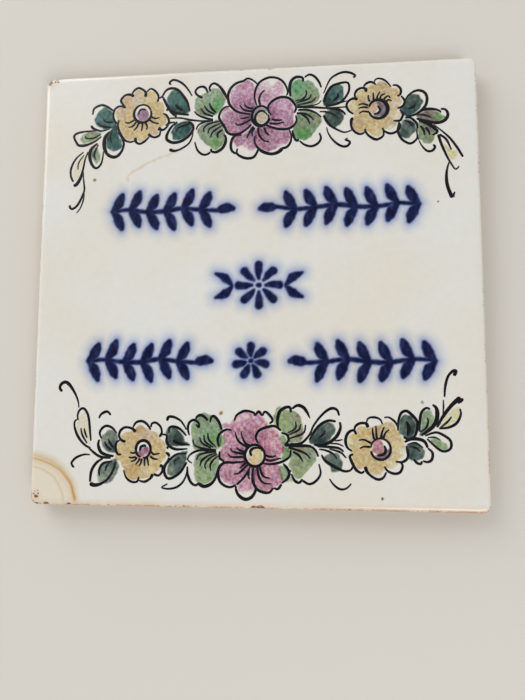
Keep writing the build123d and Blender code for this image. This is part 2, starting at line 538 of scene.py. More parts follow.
wash(head, [(-51.8, 53.6), (-52.3, 51.4), (-52.1, 49.1), (-51.2, 47.8), (-49.8, 47.3), (-47, 48),
            (-46.5, 49.6), (-47.8, 53.2), (-49, 56.8)],
     teal_mid, [(-51.4, 52.4, 1.6, teal_deep), (-49.6, 55.4, 1.8, teal_deep)])

# yellow flower on the left
wash(head, [(-49.1, 60.4), (-48.9, 62), (-47.9, 63.2), (-46, 63.5), (-47, 65), (-47, 66.4), (-45.7, 67.5),
            (-43.6, 67.6), (-42.4, 69), (-41.1, 69.6), (-39.8, 69), (-38.6, 67.5), (-37.7, 68.7),
            (-35.3, 68.4), (-34, 65), (-32.8, 64.6), (-31.9, 63.4), (-31.6, 61.8), (-31.8, 60.5),
            (-30.9, 59.6), (-31, 56.6), (-32.8, 55.2), (-33.2, 53.5), (-34.6, 52.5), (-36.3, 52.6),
            (-39.3, 50.6), (-40.7, 50.6), (-42, 51.6), (-43.7, 50.8), (-45.4, 51.6), (-47.6, 55.6),
            (-48, 57.7)],
     ochre, [(-41.3, 66.4, 2.8, grey_tan), (-45.8, 65.4, 2, peach), (-36, 66.4, 2.4, straw),
     (-46.8, 61, 2, peach), (-39.8, 52.4, 2.2, straw), (-34.8, 54.2, 1.8, peach)],
     spared=[(-39.5, 60.7, 2.9)])
wash(head, [(-41.5, 60.2), (-40.9, 61.6), (-39.8, 62.3), (-38.5, 62.3), (-37.5, 61.4), (-37, 60),
            (-37.4, 58.7), (-38.6, 57.9), (-39.8, 57.9), (-41, 58.8)], mauve)

# blue-green leaves left of the middle
wash(head, [(-30.4, 66.8), (-28.2, 68.9), (-26.8, 68.8), (-25.4, 67.3), (-23.2, 62.7), (-22.7, 60.7),
            (-23.6, 59.9), (-27.4, 59.6), (-28.9, 60.6), (-30.5, 64.1)],
     teal, [(-25, 60.8, 2.4, teal_deep), (-28.8, 61.4, 1.8, teal_deep)])
wash(head, [(-28.8, 53.4), (-27, 56.3), (-23.2, 57.3), (-21.6, 56.6), (-21.3, 55), (-24.2, 51.2),
            (-27.7, 50.4)], teal_mid, [(-25, 55.8, 1.8, teal_deep), (-23.4, 54.6, 1.6, teal_deep)])

# green leaves left of the middle
wash(head, [(-20.4, 65.1), (-17.9, 66.9), (-16.3, 67.3), (-15.3, 68.4), (-12.4, 68.5), (-10.1, 65.3),
            (-9.9, 64), (-11.1, 61.2), (-13.9, 58.8), (-18.2, 58.8), (-20, 59.8), (-20.6, 61.6)],
     leaf_grey, [(-12.6, 62.6, 2.4, leaf_bright), (-18, 60.4, 2.2, leaf_olive),
     (-10.6, 65.6, 1.4, leaf_olive)])
wash(head, [(-19.6, 53.3), (-17.6, 55.8), (-12.4, 56.7), (-10.2, 53), (-10.5, 48.7), (-12.1, 46.9),
            (-13.6, 46.4), (-16.7, 48.7), (-18.5, 50.6)],
     leaf_stone, [(-13.6, 48.8, 2.6, leaf_fresh), (-16.6, 51.6, 2, leaf_green)])

# pink flower in the middle: six petals, then its eye. The petals' colour was wetter, so that it ran a
# little past the drawing and its grains gathered
petal_wash = {"grain": 1.5, "run": 0.2}
wash(head, [(-7.9, 65.6), (-7.2, 68), (-2.6, 70.8), (-0.6, 69.9), (0.4, 67.4), (0.2, 64.4), (0.8, 61.6),
            (-1.2, 59.2), (-4.2, 59.7), (-6.6, 61), (-7.8, 63.2)],
     rose, [(-1.6, 61.8, 2.2, rose_deep), (-6.8, 67.4, 1.8, rose_pale), (-1.8, 67.4, 1.8, rose_light),
     (-5.4, 62.4, 1.6, rose_mid)], soft=0.8, **petal_wash)
wash(head, [(0.8, 64.4), (0.7, 67.4), (2.4, 69.8), (4.6, 70), (6.4, 68.4), (8.4, 70), (10.2, 68.6),
            (10.4, 66), (7.6, 63.9), (5.6, 62.2), (2.8, 61.7)],
     rose_pale, [(2, 65, 2, rose), (4.6, 64.8, 1.7, rose_mid), (8.4, 67.6, 1.6, rose_light),
     (5.4, 69.4, 1.8, rose_white)], strength=0.9, soft=0.9, **petal_wash)
wash(head, [(5.4, 61.2), (7.6, 63.3), (10.4, 63.8), (12.6, 62.6), (13.6, 60.2), (13.6, 54.8), (11.6, 53.4),
            (8.4, 53.6), (5.6, 54.6), (5.8, 56.6), (5.8, 59)],
     rose, [(7, 59, 2, rose_deep), (10.6, 61.2, 2.2, rose_light), (12.4, 55, 1.8, rose_mid)],
     soft=0.7, **petal_wash)
wash(head, [(0.9, 52.6), (0.7, 49.6), (1.6, 47.2), (3.8, 45.6), (6.4, 45.6), (11, 47.8), (12.4, 50),
            (11.9, 52.2), (8.4, 52.8), (4.6, 54), (2.4, 54.6)],
     rose_mid, [(3, 51.6, 2, rose_deep), (9.4, 50.6, 2, rose), (9.4, 46.8, 1.6, rose_pale)],
     soft=0.7, **petal_wash)
wash(head, [(-7, 49.6), (-5.6, 50.9), (-3.2, 51.4), (-0.6, 53.6), (0.6, 51.6), (0.7, 48.2), (0.2, 46),
            (-1.6, 46.4), (-3.6, 47.6), (-5.8, 47.8)],
     rose_mid, [(-0.8, 51.6, 1.8, mauve), (-2.4, 46.8, 1.6, rose_pale)], soft=1.4, **petal_wash)
wash(head, [(-10.6, 60.6), (-9, 61.2), (-6.8, 59.7), (-3.8, 58.8), (-0.9, 58.3), (-0.8, 55.4), (-3, 53),
            (-5.6, 52), (-7.8, 52.4), (-10.8, 56.2)],
     rose_mid, [(-3.2, 56.4, 2.2, rose_deep), (-10, 59.4, 1.6, rose_pale), (-7, 53.4, 1.4, pink)],
     soft=0.7, **petal_wash)
wash(head, [(-2, 57.6), (-0.6, 61), (2.7, 62), (6, 60.8), (7.2, 57.4), (5.8, 54), (2.6, 52.8),
            (-0.8, 53.8)], rose, spared=[(2.6, 57.6, 3.5)], strength=0.45, soft=1.2)
wash(head, [(-0.4, 58.6), (0.6, 60.6), (2.6, 61.3), (4.6, 60.4), (5.3, 58.4), (4.6, 59.2), (2.8, 60),
            (1, 59.2), (0.2, 57.4)], lilac_grey, soft=0.4)
wash(head, [(0.8, 57.2), (1.6, 58.9), (3, 59.4), (4.5, 58.6), (5, 57), (4.3, 55.4), (2.6, 54.9),
            (1.2, 55.6)], buff)

# green leaves right of the middle
wash(head, [(12.8, 67.4), (14, 69.7), (15.6, 70.5), (17.5, 69.8), (19.3, 70), (22.3, 66.4), (22.4, 62.5),
            (19, 60.9), (15.4, 61), (14.3, 62), (13.2, 63.2)],
     leaf_green, [(14.9, 67.4, 3, leaf_cool), (20.6, 62.8, 2, leaf_olive)])
wash(head, [(15, 58.2), (17.6, 58.9), (20.3, 58.6), (22.3, 57.4), (23.3, 55.7), (22.9, 54.1), (19.6, 49.8),
            (17.3, 48.5), (14, 50.1), (13.6, 53.1), (14.7, 54.4), (15.1, 56.4)],
     leaf_moss, [(17, 50.6, 2.6, leaf_vivid), (16.2, 54.4, 1.4, leaf_olive), (21, 56.6, 1.8, leaf_olive)])

# blue-green leaves right of the middle
wash(head, [(23.8, 61.7), (25.9, 66.4), (27.6, 68), (29.2, 68.4), (30.4, 67.5), (30.9, 65.7), (30.7, 63.7),
            (29.6, 62), (25.6, 60.5)], teal_mid, [(25, 61.8, 2, ink_green), (29.4, 66.6, 1.8, teal)])
wash(head, [(24.8, 58.1), (28.6, 59.2), (30.9, 56.1), (27.6, 52.4), (24.9, 55.4)],
     slate, [(28, 54.2, 2, slate_deep), (29.2, 58, 1.4, ink_green)])

# yellow flower on the right
wash(head, [(33, 59.3), (33.3, 60.6), (34.6, 61.7), (36, 62), (35.5, 63.2), (35.7, 64.5), (37, 65.2),
            (38.5, 64.9), (39, 66.3), (40.3, 67), (41.6, 66.9), (42.9, 67.8), (44.3, 67.9), (45.9, 66.8),
            (47, 65.5), (48.5, 65.2), (49.3, 64.2), (49.2, 63), (50.1, 60.7), (48.5, 58), (49.5, 56.7),
            (49.5, 55.2), (48.1, 54.1), (48.2, 52.8), (47.2, 51.8), (45.5, 51.5), (43.9, 51.6),
            (43.2, 50.1), (41.8, 49.2), (40.3, 49.8), (39, 51.2), (36, 50.7), (34.6, 51.8), (34, 53.4),
            (34.2, 55.1), (34.8, 56.6), (33.6, 57.7)],
     ochre, [(44.4, 66.4, 2.2, tan), (48.6, 60.4, 1.8, sand), (36.8, 64, 1.8, straw),
     (34.4, 60, 1.6, cream), (35.8, 53.6, 2.2, tan), (46.8, 53.6, 2.2, tan), (36.8, 61.4, 1.6, tan),
     (48.6, 55.6, 1.8, ivory), (42, 50.4, 1.6, straw), (46.4, 51.8, 1.2, ivory)], spared=[(42.5, 58.6, 3)],
     soft=0.7, run=0.4)
wash(head, [(39.2, 58.7), (39.8, 60.6), (41.2, 61.2), (42.7, 60.7), (43, 59.2), (41.1, 56.7), (39.8, 57.2)],
     peach)
wash(head, [(42, 60.8), (43.4, 61), (44.8, 60), (45.4, 58.4), (44.9, 56.8), (43.4, 55.7), (41.2, 56),
            (42.9, 58.2)], plum)

# right sprig
wash(head, [(49.7, 58), (51.2, 59.7), (52.3, 62), (54, 63.2), (55.6, 63), (57.3, 60.4), (55, 57),
            (51.2, 55.7)], slate, [(53, 57, 2.2, teal_deep), (54.8, 60.2, 1.4, slate_deep)])
wash(head, [(51.3, 54.6), (54.3, 53.2), (55, 51.4), (54.3, 49.7), (52.3, 47.9), (50.7, 47.8), (49.3, 49.1),
            (49.4, 51.1)], sage_dark, [(50.6, 49.4, 1.8, slate_deep), (53.8, 53, 1.5, ink_green)])
wash(head, [(54.9, 55.7), (58.9, 57.3), (61.3, 56.9), (64.3, 55.1), (63.6, 53.8), (61.6, 53.2),
            (59.3, 53.3), (56.6, 54.2)], drab, [(62.9, 55, 1.9, leaf_fresh)])
wash(head, [(56, 53.6), (57.6, 53.5), (61.2, 50.1), (61, 48.1), (60.3, 46.4), (58.9, 45.7), (55.9, 47.4),
            (55.6, 51.7)], leaf_moss, [(59.4, 51.4, 1.9, drab), (59.2, 46.6, 1.4, leaf_olive)])
wash(head, [(63.9, 44.8), (67.7, 42.8), (68, 40.9), (66.3, 40.1), (64.8, 42.1)],
     cream, strength=1.15, soft=0.9)

# old marks near the head garland: specks in the glaze and a hair of stain
speck(head, -56, 36.8, 0.45, rust)
speck(head, 61.5, 25.6, 0.3, soot)
wash(head, [(-44.4, 36.2), (-44.2, 38.6), (-40.2, 41.3), (-35.2, 43.8), (-26, 46.9), (-26, 46.2),
            (-34.8, 43), (-39.7, 40.5), (-43.4, 38.2), (-43.6, 36)], sand, strength=0.5, soft=0.7)

paint_film("garland_head_colour", head, oxide_washes, "garland_paint", wash_lift)

# The drawing of the head garland: manganese black laid over the dry washes with a fine liner brush,
# one pull to a petal, leaf or tendril. The stroke swells under pressure, has a round start and end, and
# stands a hair proud of the glaze.

path_steps, line_steps = 200, 44  # points worked out along a stroke, and rings that its tube has
line_weight = 1.05  # every line is this much wider than its pressures say
# a stroke's section, as a lens: places across in half widths, and the height of each over the glaze
section_across = np.array([-1, -0.94, -0.82, 0, 0.82, 0.94, 1, 0])
section_lift = np.array([-0.01, 0.025, 0.032, 0.034, 0.032, 0.025, -0.01, -0.03]) * MM
line_roughness, line_thin, line_full = 0.22, "#3A3A40", "#121319"

# the pressures of the brush: the width of a line in drawing units, at even steps along a stroke
hair, vein, stamen = (0.4, 0.6, 0.4), (0.5, 0.8, 0.5), (0.5, 0.7, 0.85)
feather, quill, barb = (0.5, 0.85, 0.75), (0.8, 0.85, 0.5), (0.6, 1.0, 0.7)
petal, leaf, edge = (0.6, 0.9, 0.9, 0.65), (0.6, 1.0, 1.0, 0.75), (0.6, 0.85, 0.9, 0.85, 0.6)
bold, heavy, fall = (0.7, 1.15, 1.1, 0.8), (1.2, 1.2, 0.9, 0.7), (1.0, 0.9, 0.7, 0.5)
curl, tendril = (0.6, 0.9, 0.85, 1.25), (0.4, 0.6, 0.8, 0.9, 0.8)


def pull(pressure, *points):
    """One brush stroke: a closed lens-shaped section carried along a smooth path. Its width passes through
    the pressures, spaced evenly, and closes at both ends along half a circle."""
    ease = (1 - np.cos(np.linspace(0, np.pi, line_steps))) / 2
    path = curve_through(points, path_steps)
    run = np.linspace(0, 1, path_steps)
    path = np.stack([np.interp(ease, run, path[:, 0]), np.interp(ease, run, path[:, 1])], -1)
    length = np.hypot(*np.diff(path, axis=0).T).sum()
    width = line_weight * np.interp(ease, np.linspace(0, 1, len(pressure)), pressure)
    to_end = np.minimum(ease, 1 - ease) * length / (width / 2)
    close = np.sqrt(np.clip(1 - (1 - np.clip(to_end, 0, 1)) ** 2, 0.0016, 1))
    ahead = np.gradient(path, axis=0)
    ahead = ahead / np.maximum(np.hypot(*ahead.T), 1e-9)[:, None]
    left = np.stack([-ahead[:, 1], ahead[:, 0]], -1)
    across = section_across * (width * close / 2)[:, None]
    rim = on_face(path[:, None] + left[:, None] * across[..., None])
    level = glaze_level(rim[..., 0], rim[..., 1]) + section_lift * close[:, None]
    load = np.broadcast_to((width * close)[:, None], level.shape)
    return np.concatenate([rim, level[..., None], load[..., None]], -1)


def eye_ring(x, y, reach_x, reach_y, start, sweep, *pressure):
    """A stroke round a flower's eye: part of an ellipse, from this angle over this sweep, in degrees."""
    turn = np.radians(start + np.linspace(0, sweep, 12))
    return pull(pressure, *np.stack([x + reach_x * np.cos(turn), y + reach_y * np.sin(turn)], -1))


def line_work(name, strokes, material, slot):
    """All the strokes of one drawing as one mesh: each is a tube of rings, with a face across both ends."""
    tubes = np.stack(strokes)
    count, steps, sides = tubes.shape[:3]
    here = np.arange(count * steps * sides).reshape(count, steps, sides)
    after = np.roll(here, -1, 2)
    walls = np.stack([here[:, :-1], here[:, 1:], after[:, 1:], after[:, :-1]], -1).reshape(-1, 4)
    ends = np.concatenate([here[:, 0], here[:, -1, ::-1]])
    flat = tubes.reshape(-1, 4)
    mesh_piece(name, flat[:, :3], walls.tolist() + ends.tolist(), material, slot, load=flat[:, 3])


def manganese_line():
    """Manganese black fired into the glaze: near black where the stroke is full, greyer where the brush ran
    thin, and about as glossy as the glaze."""
    material, tree, shader = new_surface("manganese_black_line", line_roughness, IOR=glaze_ior)
    place = add(tree, "TexCoord").outputs["Object"]
    width = add(tree, "Attribute", attribute_name="load").outputs["Fac"]
    patchy = add(tree, "TexNoise", {"Vector": place, "Scale": 1 / (1.6 * MM), "Detail": 3.0}).outputs["Fac"]
    uneven = add(tree, "Math", {0: patchy, 1: 1.1, 2: -0.55}, operation="MULTIPLY_ADD").outputs[0]
    loaded = add(tree, "Math", {0: width, 1: uneven}, operation="ADD").outputs[0]
    full = add(tree, "MapRange", {"Value": loaded, "From Min": 0.2, "From Max": 0.85}).outputs[0]
    colour = add(tree, "Mix", {0: full, 6: rgba(line_thin), 7: rgba(line_full)}, data_type="RGBA").outputs[2]
    tree.links.new(colour, shader.inputs["Base Color"])
    return material


manganese_black = manganese_line()

left_sprig_head = [
    pull(petal, (-57.7, 61), (-57.1, 63.4), (-54.6, 64.5), (-52.4, 63.8), (-50, 62.1)),
    pull(fall, (-58.1, 57.1), (-57.2, 55.9), (-54.3, 54.9), (-51.1, 55.6)),
    pull(tendril, (-53.8, 59.6), (-53.2, 58.5), (-51.9, 58.1), (-50, 58)),
    pull(barb, (-56.1, 58.1), (-54, 56.7), (-50.5, 56)),
    pull((0.7, 1.1, 1.5, 1.4, 1.0), (-51, 54.6), (-52.7, 52.9), (-53.1, 50.7), (-52.9, 48.4), (-51.9, 46)),
    pull((1.2, 1.2, 0.9, 0.8, 1.1), (-52.2, 46.6), (-50.9, 45.5), (-49.2, 45.1), (-47.6, 45.9),
         (-46.3, 48.1), (-46.1, 50.6), (-48, 54.6)),
    pull(vein, (-50.4, 54.6), (-51, 52.6), (-50.4, 50.2)),
    pull(tendril, (-53.3, 55.1), (-60.2, 54.9), (-63.3, 54.3), (-64.25, 53.1), (-63.3, 50.9)),
    pull((0.8, 1.1, 0.8, 0.5), (-63.6, 51.5), (-62.4, 49.9), (-59.6, 49.9), (-56.4, 51.2), (-54.1, 52.9)),
    pull(vein, (-60.2, 53.4), (-59.6, 52.4), (-57.1, 52.4), (-54.4, 53.7)),
    pull((0.7, 1.3, 1.2, 0.9, 0.7, 0.5), (-55.5, 50.4), (-57.7, 48.4), (-58.3, 45.9), (-57.4, 42.75),
         (-55.8, 41.25), (-54.25, 42.4), (-53.5, 44.9), (-53.3, 47.4)),
    pull(vein, (-55.2, 49.9), (-56.4, 47.4), (-56.6, 45.9), (-56, 44.3)),
    pull(feather, (-60.5, 47.4), (-63.3, 44.9), (-64.9, 41.5), (-64.9, 38.7), (-63.9, 36.5)),
    pull((1.3, 1.2, 0.8, 0.7, 0.5), (-63.9, 35.25), (-62.7, 35.6), (-61.3, 38.1), (-60.5, 41.2),
         (-59.9, 44.6), (-58.9, 47.4)),
    pull(hair, (-60.3, 46.3), (-62.2, 43.4), (-62.4, 40.9)),
    pull(tendril, (-60.5, 40.9), (-60.2, 37.1), (-59.8, 33.7), (-60.5, 31.2), (-62.1, 28.1), (-63.9, 26.7),
         (-64.9, 27.4), (-64.7, 28.2)),
    pull(hair, (-59.8, 33.7), (-60, 30.25), (-61, 27.1), (-62.4, 25.1)),
]

left_yellow_head = [
    # the eye
    eye_ring(-39.4, 60.6, 3.15, 3.3, 20, 362, 0.7, 0.7, 1.0, 1.1, 1.0, 0.7),
    pull(vein, (-40.9, 60.2), (-40.6, 61.6), (-39.6, 62.3), (-38.2, 61.8)),
    # the petals' edges, round from the left
    pull(edge, (-45.6, 63), (-47.7, 63.8), (-49.6, 62.6), (-50.1, 60.3), (-49.3, 58.1), (-48, 57)),
    pull(curl, (-45.6, 63), (-47.4, 65.6), (-46.4, 67.4), (-44.9, 68), (-43.3, 67.6), (-42.9, 66.9)),
    pull(curl, (-43.5, 68.1), (-42.5, 69.5), (-41.1, 70.2), (-39.6, 69.6), (-38.5, 68.4), (-38.5, 66.7)),
    pull(feather, (-38.5, 68.1), (-37.2, 69.5), (-36.1, 69.6), (-34.7, 68.4), (-33.8, 66.7), (-34.1, 64.6)),
    pull((0.5, 0.7, 0.7, 0.7, 1.0), (-33.8, 65.9), (-32.5, 66.5), (-31.6, 65.4), (-30.7, 63.7),
         (-30.3, 62.4), (-30.8, 61.2)),
    pull(edge, (-32.1, 60.4), (-30.7, 59.5), (-29.9, 57.4), (-30.7, 55.9)),
    pull((1.6, 0.9, 0.8, 0.5), (-33.8, 55.1), (-32.1, 54.3), (-30.7, 55.25), (-29.7, 56.7)),
    pull(curl, (-32.8, 54), (-33.3, 52.4), (-34.9, 51.75), (-36.4, 52.3), (-37.2, 53.2)),
    pull(curl, (-36.9, 52), (-38.5, 50.4), (-40.3, 49.6), (-41.6, 50.4), (-41.9, 52)),
    pull(barb, (-42.1, 50.7), (-43.9, 50.4), (-45.8, 51.3), (-47.4, 53.7), (-48.3, 56.5), (-48, 58.7)),
    # the stamens
    pull(stamen, (-45.9, 57.8), (-44.4, 57.4), (-42.3, 58.4)),
    pull(stamen, (-44.5, 55.8), (-43, 56.1), (-41.6, 57.7)),
    pull(stamen, (-42.6, 54.5), (-41.5, 55.6), (-40.7, 57.3)),
    pull(stamen, (-39.7, 54.1), (-39.5, 55.6), (-39.4, 57.3)),
    pull(stamen, (-38, 54.6), (-37.7, 55.8), (-38.3, 57.3)),
    pull(stamen, (-33.4, 56.7), (-35.4, 57.2), (-37, 58.4)),
    pull(stamen, (-33.2, 58.9), (-35, 58.7), (-36.5, 59.5)),
]

left_middle_head = [
    # the two blue-green leaves and their tendrils
    pull(quill, (-29.4, 70.8), (-29.9, 71.7), (-28.6, 72.6), (-26.6, 72), (-24.5, 70.4), (-22.7, 68),
         (-21.7, 66.2)),
    pull(leaf, (-33.3, 66), (-32.2, 67.1), (-31.2, 68.7), (-29.6, 69.5), (-27.3, 69.1), (-25.5, 67.3),
         (-23.5, 64.3), (-22.5, 60.6)),
    pull(leaf, (-32.2, 65.9), (-29.1, 60.7), (-27.1, 58.9)),
    pull(leaf, (-29.8, 62.2), (-27.6, 60.4), (-22.7, 59.4)),
    pull(bold, (-27.8, 63.6), (-26.6, 62.2), (-24.8, 61.2)),
    pull(vein, (-31.2, 55.85), (-29.9, 56.7), (-27.6, 57)),
    pull(bold, (-26.8, 57.1), (-29.1, 55.1), (-30.5, 52.5), (-30.6, 51), (-29.6, 50), (-27.8, 49.5),
         (-25.3, 50), (-22.7, 51.8), (-21.2, 54.1), (-21.5, 55.8), (-23.2, 57.1)),
    pull(feather, (-27.3, 53.1), (-27, 54.5), (-25, 55.5), (-22.4, 56.2)),
    pull((0.4, 0.6, 0.7, 0.8, 1.3), (-21.2, 53.55), (-21.5, 51.5), (-22.7, 49), (-25.3, 47.2),
         (-27.6, 46.5), (-28.9, 46.8), (-29.4, 47.4)),
    # the stem
    pull(vein, (-29.9, 58.5), (-25.8, 58.4), (-22, 57.5), (-18.1, 57), (-14.1, 57.1)),
    # the two green leaves, with veins that run in to the stem
    pull((1.0, 0.8, 0.8, 0.9, 0.7), (-17.9, 65.4), (-19.7, 66.4), (-20.6, 67.8), (-19.7, 69.2),
         (-18.1, 69.6), (-16.9, 68.9), (-16.2, 67.2)),
    pull((0.8, 0.8, 0.9, 1.2, 0.7), (-15.1, 67.7), (-15.6, 68.9), (-14.8, 70.3), (-13.6, 70.5),
         (-11.8, 69.1), (-10.2, 66.6), (-9.2, 64.5)),
    pull(feather, (-20.9, 60.7), (-19.7, 59.3), (-17.1, 58.1), (-14.1, 57.25)),
    pull(feather, (-18.7, 61.7), (-17.1, 59.7), (-14.1, 58.4)),
    pull(feather, (-17.4, 62.7), (-16.1, 60.7), (-13.6, 59.2)),
    pull(barb, (-15.6, 63.5), (-14.8, 61.5), (-13, 59.7)),
    pull(bold, (-10.5, 51.9), (-9.7, 50.7), (-9.85, 48.7), (-11, 46.7), (-13, 45.5), (-14.6, 45.9),
         (-14.8, 46.9)),
    pull(quill, (-14.95, 45.6), (-16.4, 44.75), (-18.1, 45), (-19.7, 46.7), (-20.6, 49.5)),
    pull(feather, (-20.2, 53.8), (-19.2, 55.6), (-16.9, 56.7), (-14.1, 57)),
    pull(vein, (-17.3, 52.9), (-17.4, 54.3), (-15.6, 55.9), (-12, 56.6)),
    pull(vein, (-16, 52.3), (-15.3, 54.1), (-11.6, 55.9)),
    pull(vein, (-15.1, 50.9), (-14.1, 53), (-11, 55)),
    pull(edge, (-12.5, 50.5), (-12.5, 52.3), (-10.7, 53.55)),
]

pink_head = [
    # the eye
    eye_ring(2.5, 57.9, 3.1, 3.6, 10, 340, 0.7, 0.8, 1.0, 1.2, 1.2, 1.0),
    eye_ring(2.9, 57.1, 2.4, 2.6, 60, 330, 0.7, 0.9, 0.9, 0.8, 0.6),
    pull(vein, (0.5, 57.1), (1.05, 58.9), (2.6, 59.8), (4.1, 59), (4.75, 58.1)),
    # the six petals' edges
    pull(leaf, (1.5, 69.4), (-0.5, 71.15), (-2.3, 71.8), (-3.5, 71), (-6.3, 70.1), (-8.3, 68.1), (-9, 65.5),
         (-8.5, 62.7), (-6.6, 60.4), (-4.3, 59.3), (-1, 58.65)),
    pull(edge, (1.05, 61.7), (0.3, 64.8), (0.7, 67.6), (1.8, 69.9), (3.9, 71.3), (6.15, 71.8), (8.7, 71.15),
         (10.5, 69.6), (11.6, 67.3), (11.8, 65.8), (11.4, 64.8)),
    pull(leaf, (6.15, 57.9), (5, 60.2), (5.6, 62.2), (7.7, 63.8), (10, 64.4), (12.3, 63.8), (13.8, 62.2),
         (14.7, 60.4), (14.1, 58.4)),
    pull(leaf, (14.6, 57.6), (14.8, 55.6), (13.7, 53.8), (11.5, 52.8), (8.4, 53), (5.6, 53.9), (4.1, 54.8)),
    pull((0.5, 0.8, 1.2, 1.1, 1.4), (0.5, 50.9), (0.3, 49), (1.3, 46.7), (3.3, 45), (6.15, 44.1),
         (8.4, 44.6), (10, 45.9)),
    pull(fall, (9.6, 45.9), (11.5, 46.4), (12.8, 48.2), (13, 50.5), (12.3, 52.6)),
    pull(leaf, (-4.05, 51.25), (-6.1, 51.25), (-7.4, 50), (-7.9, 47.7), (-7.4, 45.6), (-5.8, 44.6)),
    pull(leaf, (-5.6, 46.6), (-5.7, 44.7), (-3.8, 43.3), (-1.75, 42.8), (0, 43.2), (1.05, 44.5),
         (1.6, 45.9)),
    pull(leaf, (-8.5, 61.8), (-9.9, 61.7), (-11.4, 60.4), (-12.1, 58.4), (-11.7, 56.9), (-10.2, 54.6),
         (-9.15, 52.5), (-7.4, 51.6), (-4.8, 51.9), (-2.5, 53.3), (-0.7, 55.1)),
    # the pleats round the eye
    pull(feather, (-4.9, 62.2), (-3.8, 60.7), (-2, 59.9), (0.3, 59.7)),
    pull(feather, (-3.3, 62.7), (-2.3, 61.3), (0, 60.6)),
    pull(vein, (-4.7, 57.25), (-3, 57.4), (-1.2, 57.8)),
    pull(feather, (-6.35, 55.85), (-5.6, 55), (-3.8, 55.3), (-0.7, 56.9)),
    pull(quill, (2.3, 61.7), (1.9, 64), (2.6, 66), (3.9, 67.2)),
    pull(quill, (6.15, 56.6), (7.9, 56.1), (10, 56.1)),
    pull(quill, (5.4, 55.2), (7.7, 54.8), (10.7, 55.3)),
    pull(quill, (1.6, 53.8), (1.8, 51.5), (3.3, 49.2), (5.6, 48.3)),
    pull(quill, (3.6, 53.8), (4.4, 51.8), (5.6, 50.7)),
    pull(quill, (0, 54.3), (-1.2, 52.5), (-2.4, 50)),
    pull(quill, (0.5, 53.8), (-0.5, 52.3), (-0.35, 50.7)),
]

right_middle_head = [
    # the upper green leaf and its veins
    pull(bold, (12.8, 64.3), (12.5, 67.6), (13, 69.9), (14.3, 71.2), (15.8, 71.4), (17, 70.9),
         (17.1, 69.5)),
    pull(edge, (17.6, 71.15), (19.4, 72.05), (21.2, 71.15), (22.5, 69.4), (23.4, 67.1)),
    pull(vein, (18.1, 66.6), (18.2, 64.9), (16.9, 63.3), (14.3, 62.7)),
    pull(vein, (20, 65), (18.9, 63.3), (14.6, 61.9)),
    pull(vein, (21.6, 63.8), (19.9, 62.2), (14.8, 61.2)),
    pull(hair, (23.4, 62.5), (21.5, 61.1), (15.3, 60.5)),
    # the stem and a hair beside it
    pull(fall, (15, 60.6), (20.4, 60.2), (25.5, 59.7), (31.9, 59.8)),
    pull(hair, (28.3, 61), (30.3, 61.5), (32.1, 62)),
    # the lower green leaf and its veins
    pull(curl, (13.4, 52.3), (13.7, 50.5), (14.6, 48.7), (15.8, 48.7)),
    pull(edge, (15.8, 48.4), (17.6, 46.9), (19.9, 46.3), (22, 47.2), (23.1, 49), (22.6, 51)),
    pull(quill, (15.3, 59.4), (18.65, 59.3), (21.5, 58.1), (23.4, 56.4)),
    pull(quill, (14.8, 58.3), (17.9, 57.9), (19.9, 56.6), (20.7, 55.5)),
    pull(quill, (16.4, 58.1), (18.4, 56.4), (19.5, 54.1)),
    # the two blue-green leaves and their tendrils
    pull(tendril, (24.1, 64.9), (26.2, 69.6), (28.3, 71.4), (30.8, 72.3), (33.1, 72.05), (34.9, 71),
         (34.3, 70.1)),
    pull((1.0, 1.0, 0.9, 0.8, 0.8, 1.0, 0.8), (24.2, 61.7), (25, 64.5), (26.8, 67.3), (29.3, 68.3),
         (32.1, 68.6), (32.9, 67.3), (32.5, 64.8), (30.6, 62.2), (28.3, 60.95), (24.7, 60.4)),
    pull(leaf, (29.05, 65), (28.8, 63.5), (27.3, 62.1)),
    pull(fall, (24.1, 57.25), (25.2, 54.8), (26.8, 53), (30.3, 51), (31.9, 50.9), (33.6, 51.5)),
    pull(barb, (25.2, 59.4), (28.3, 59.2), (30.3, 58.4), (31.6, 57)),
    pull(vein, (22.7, 58.5), (25, 58.3), (27.8, 57.1), (29.3, 55.6)),
    pull((0.4, 0.6, 0.8, 0.9, 0.9, 0.5), (25.1, 52.9), (25.5, 51), (26.8, 48.7), (28.8, 46.7), (30.6, 45.8),
         (32.1, 46), (32.9, 47.2), (32.2, 47.8), (31.3, 48.1), (32.2, 48.7)),
]

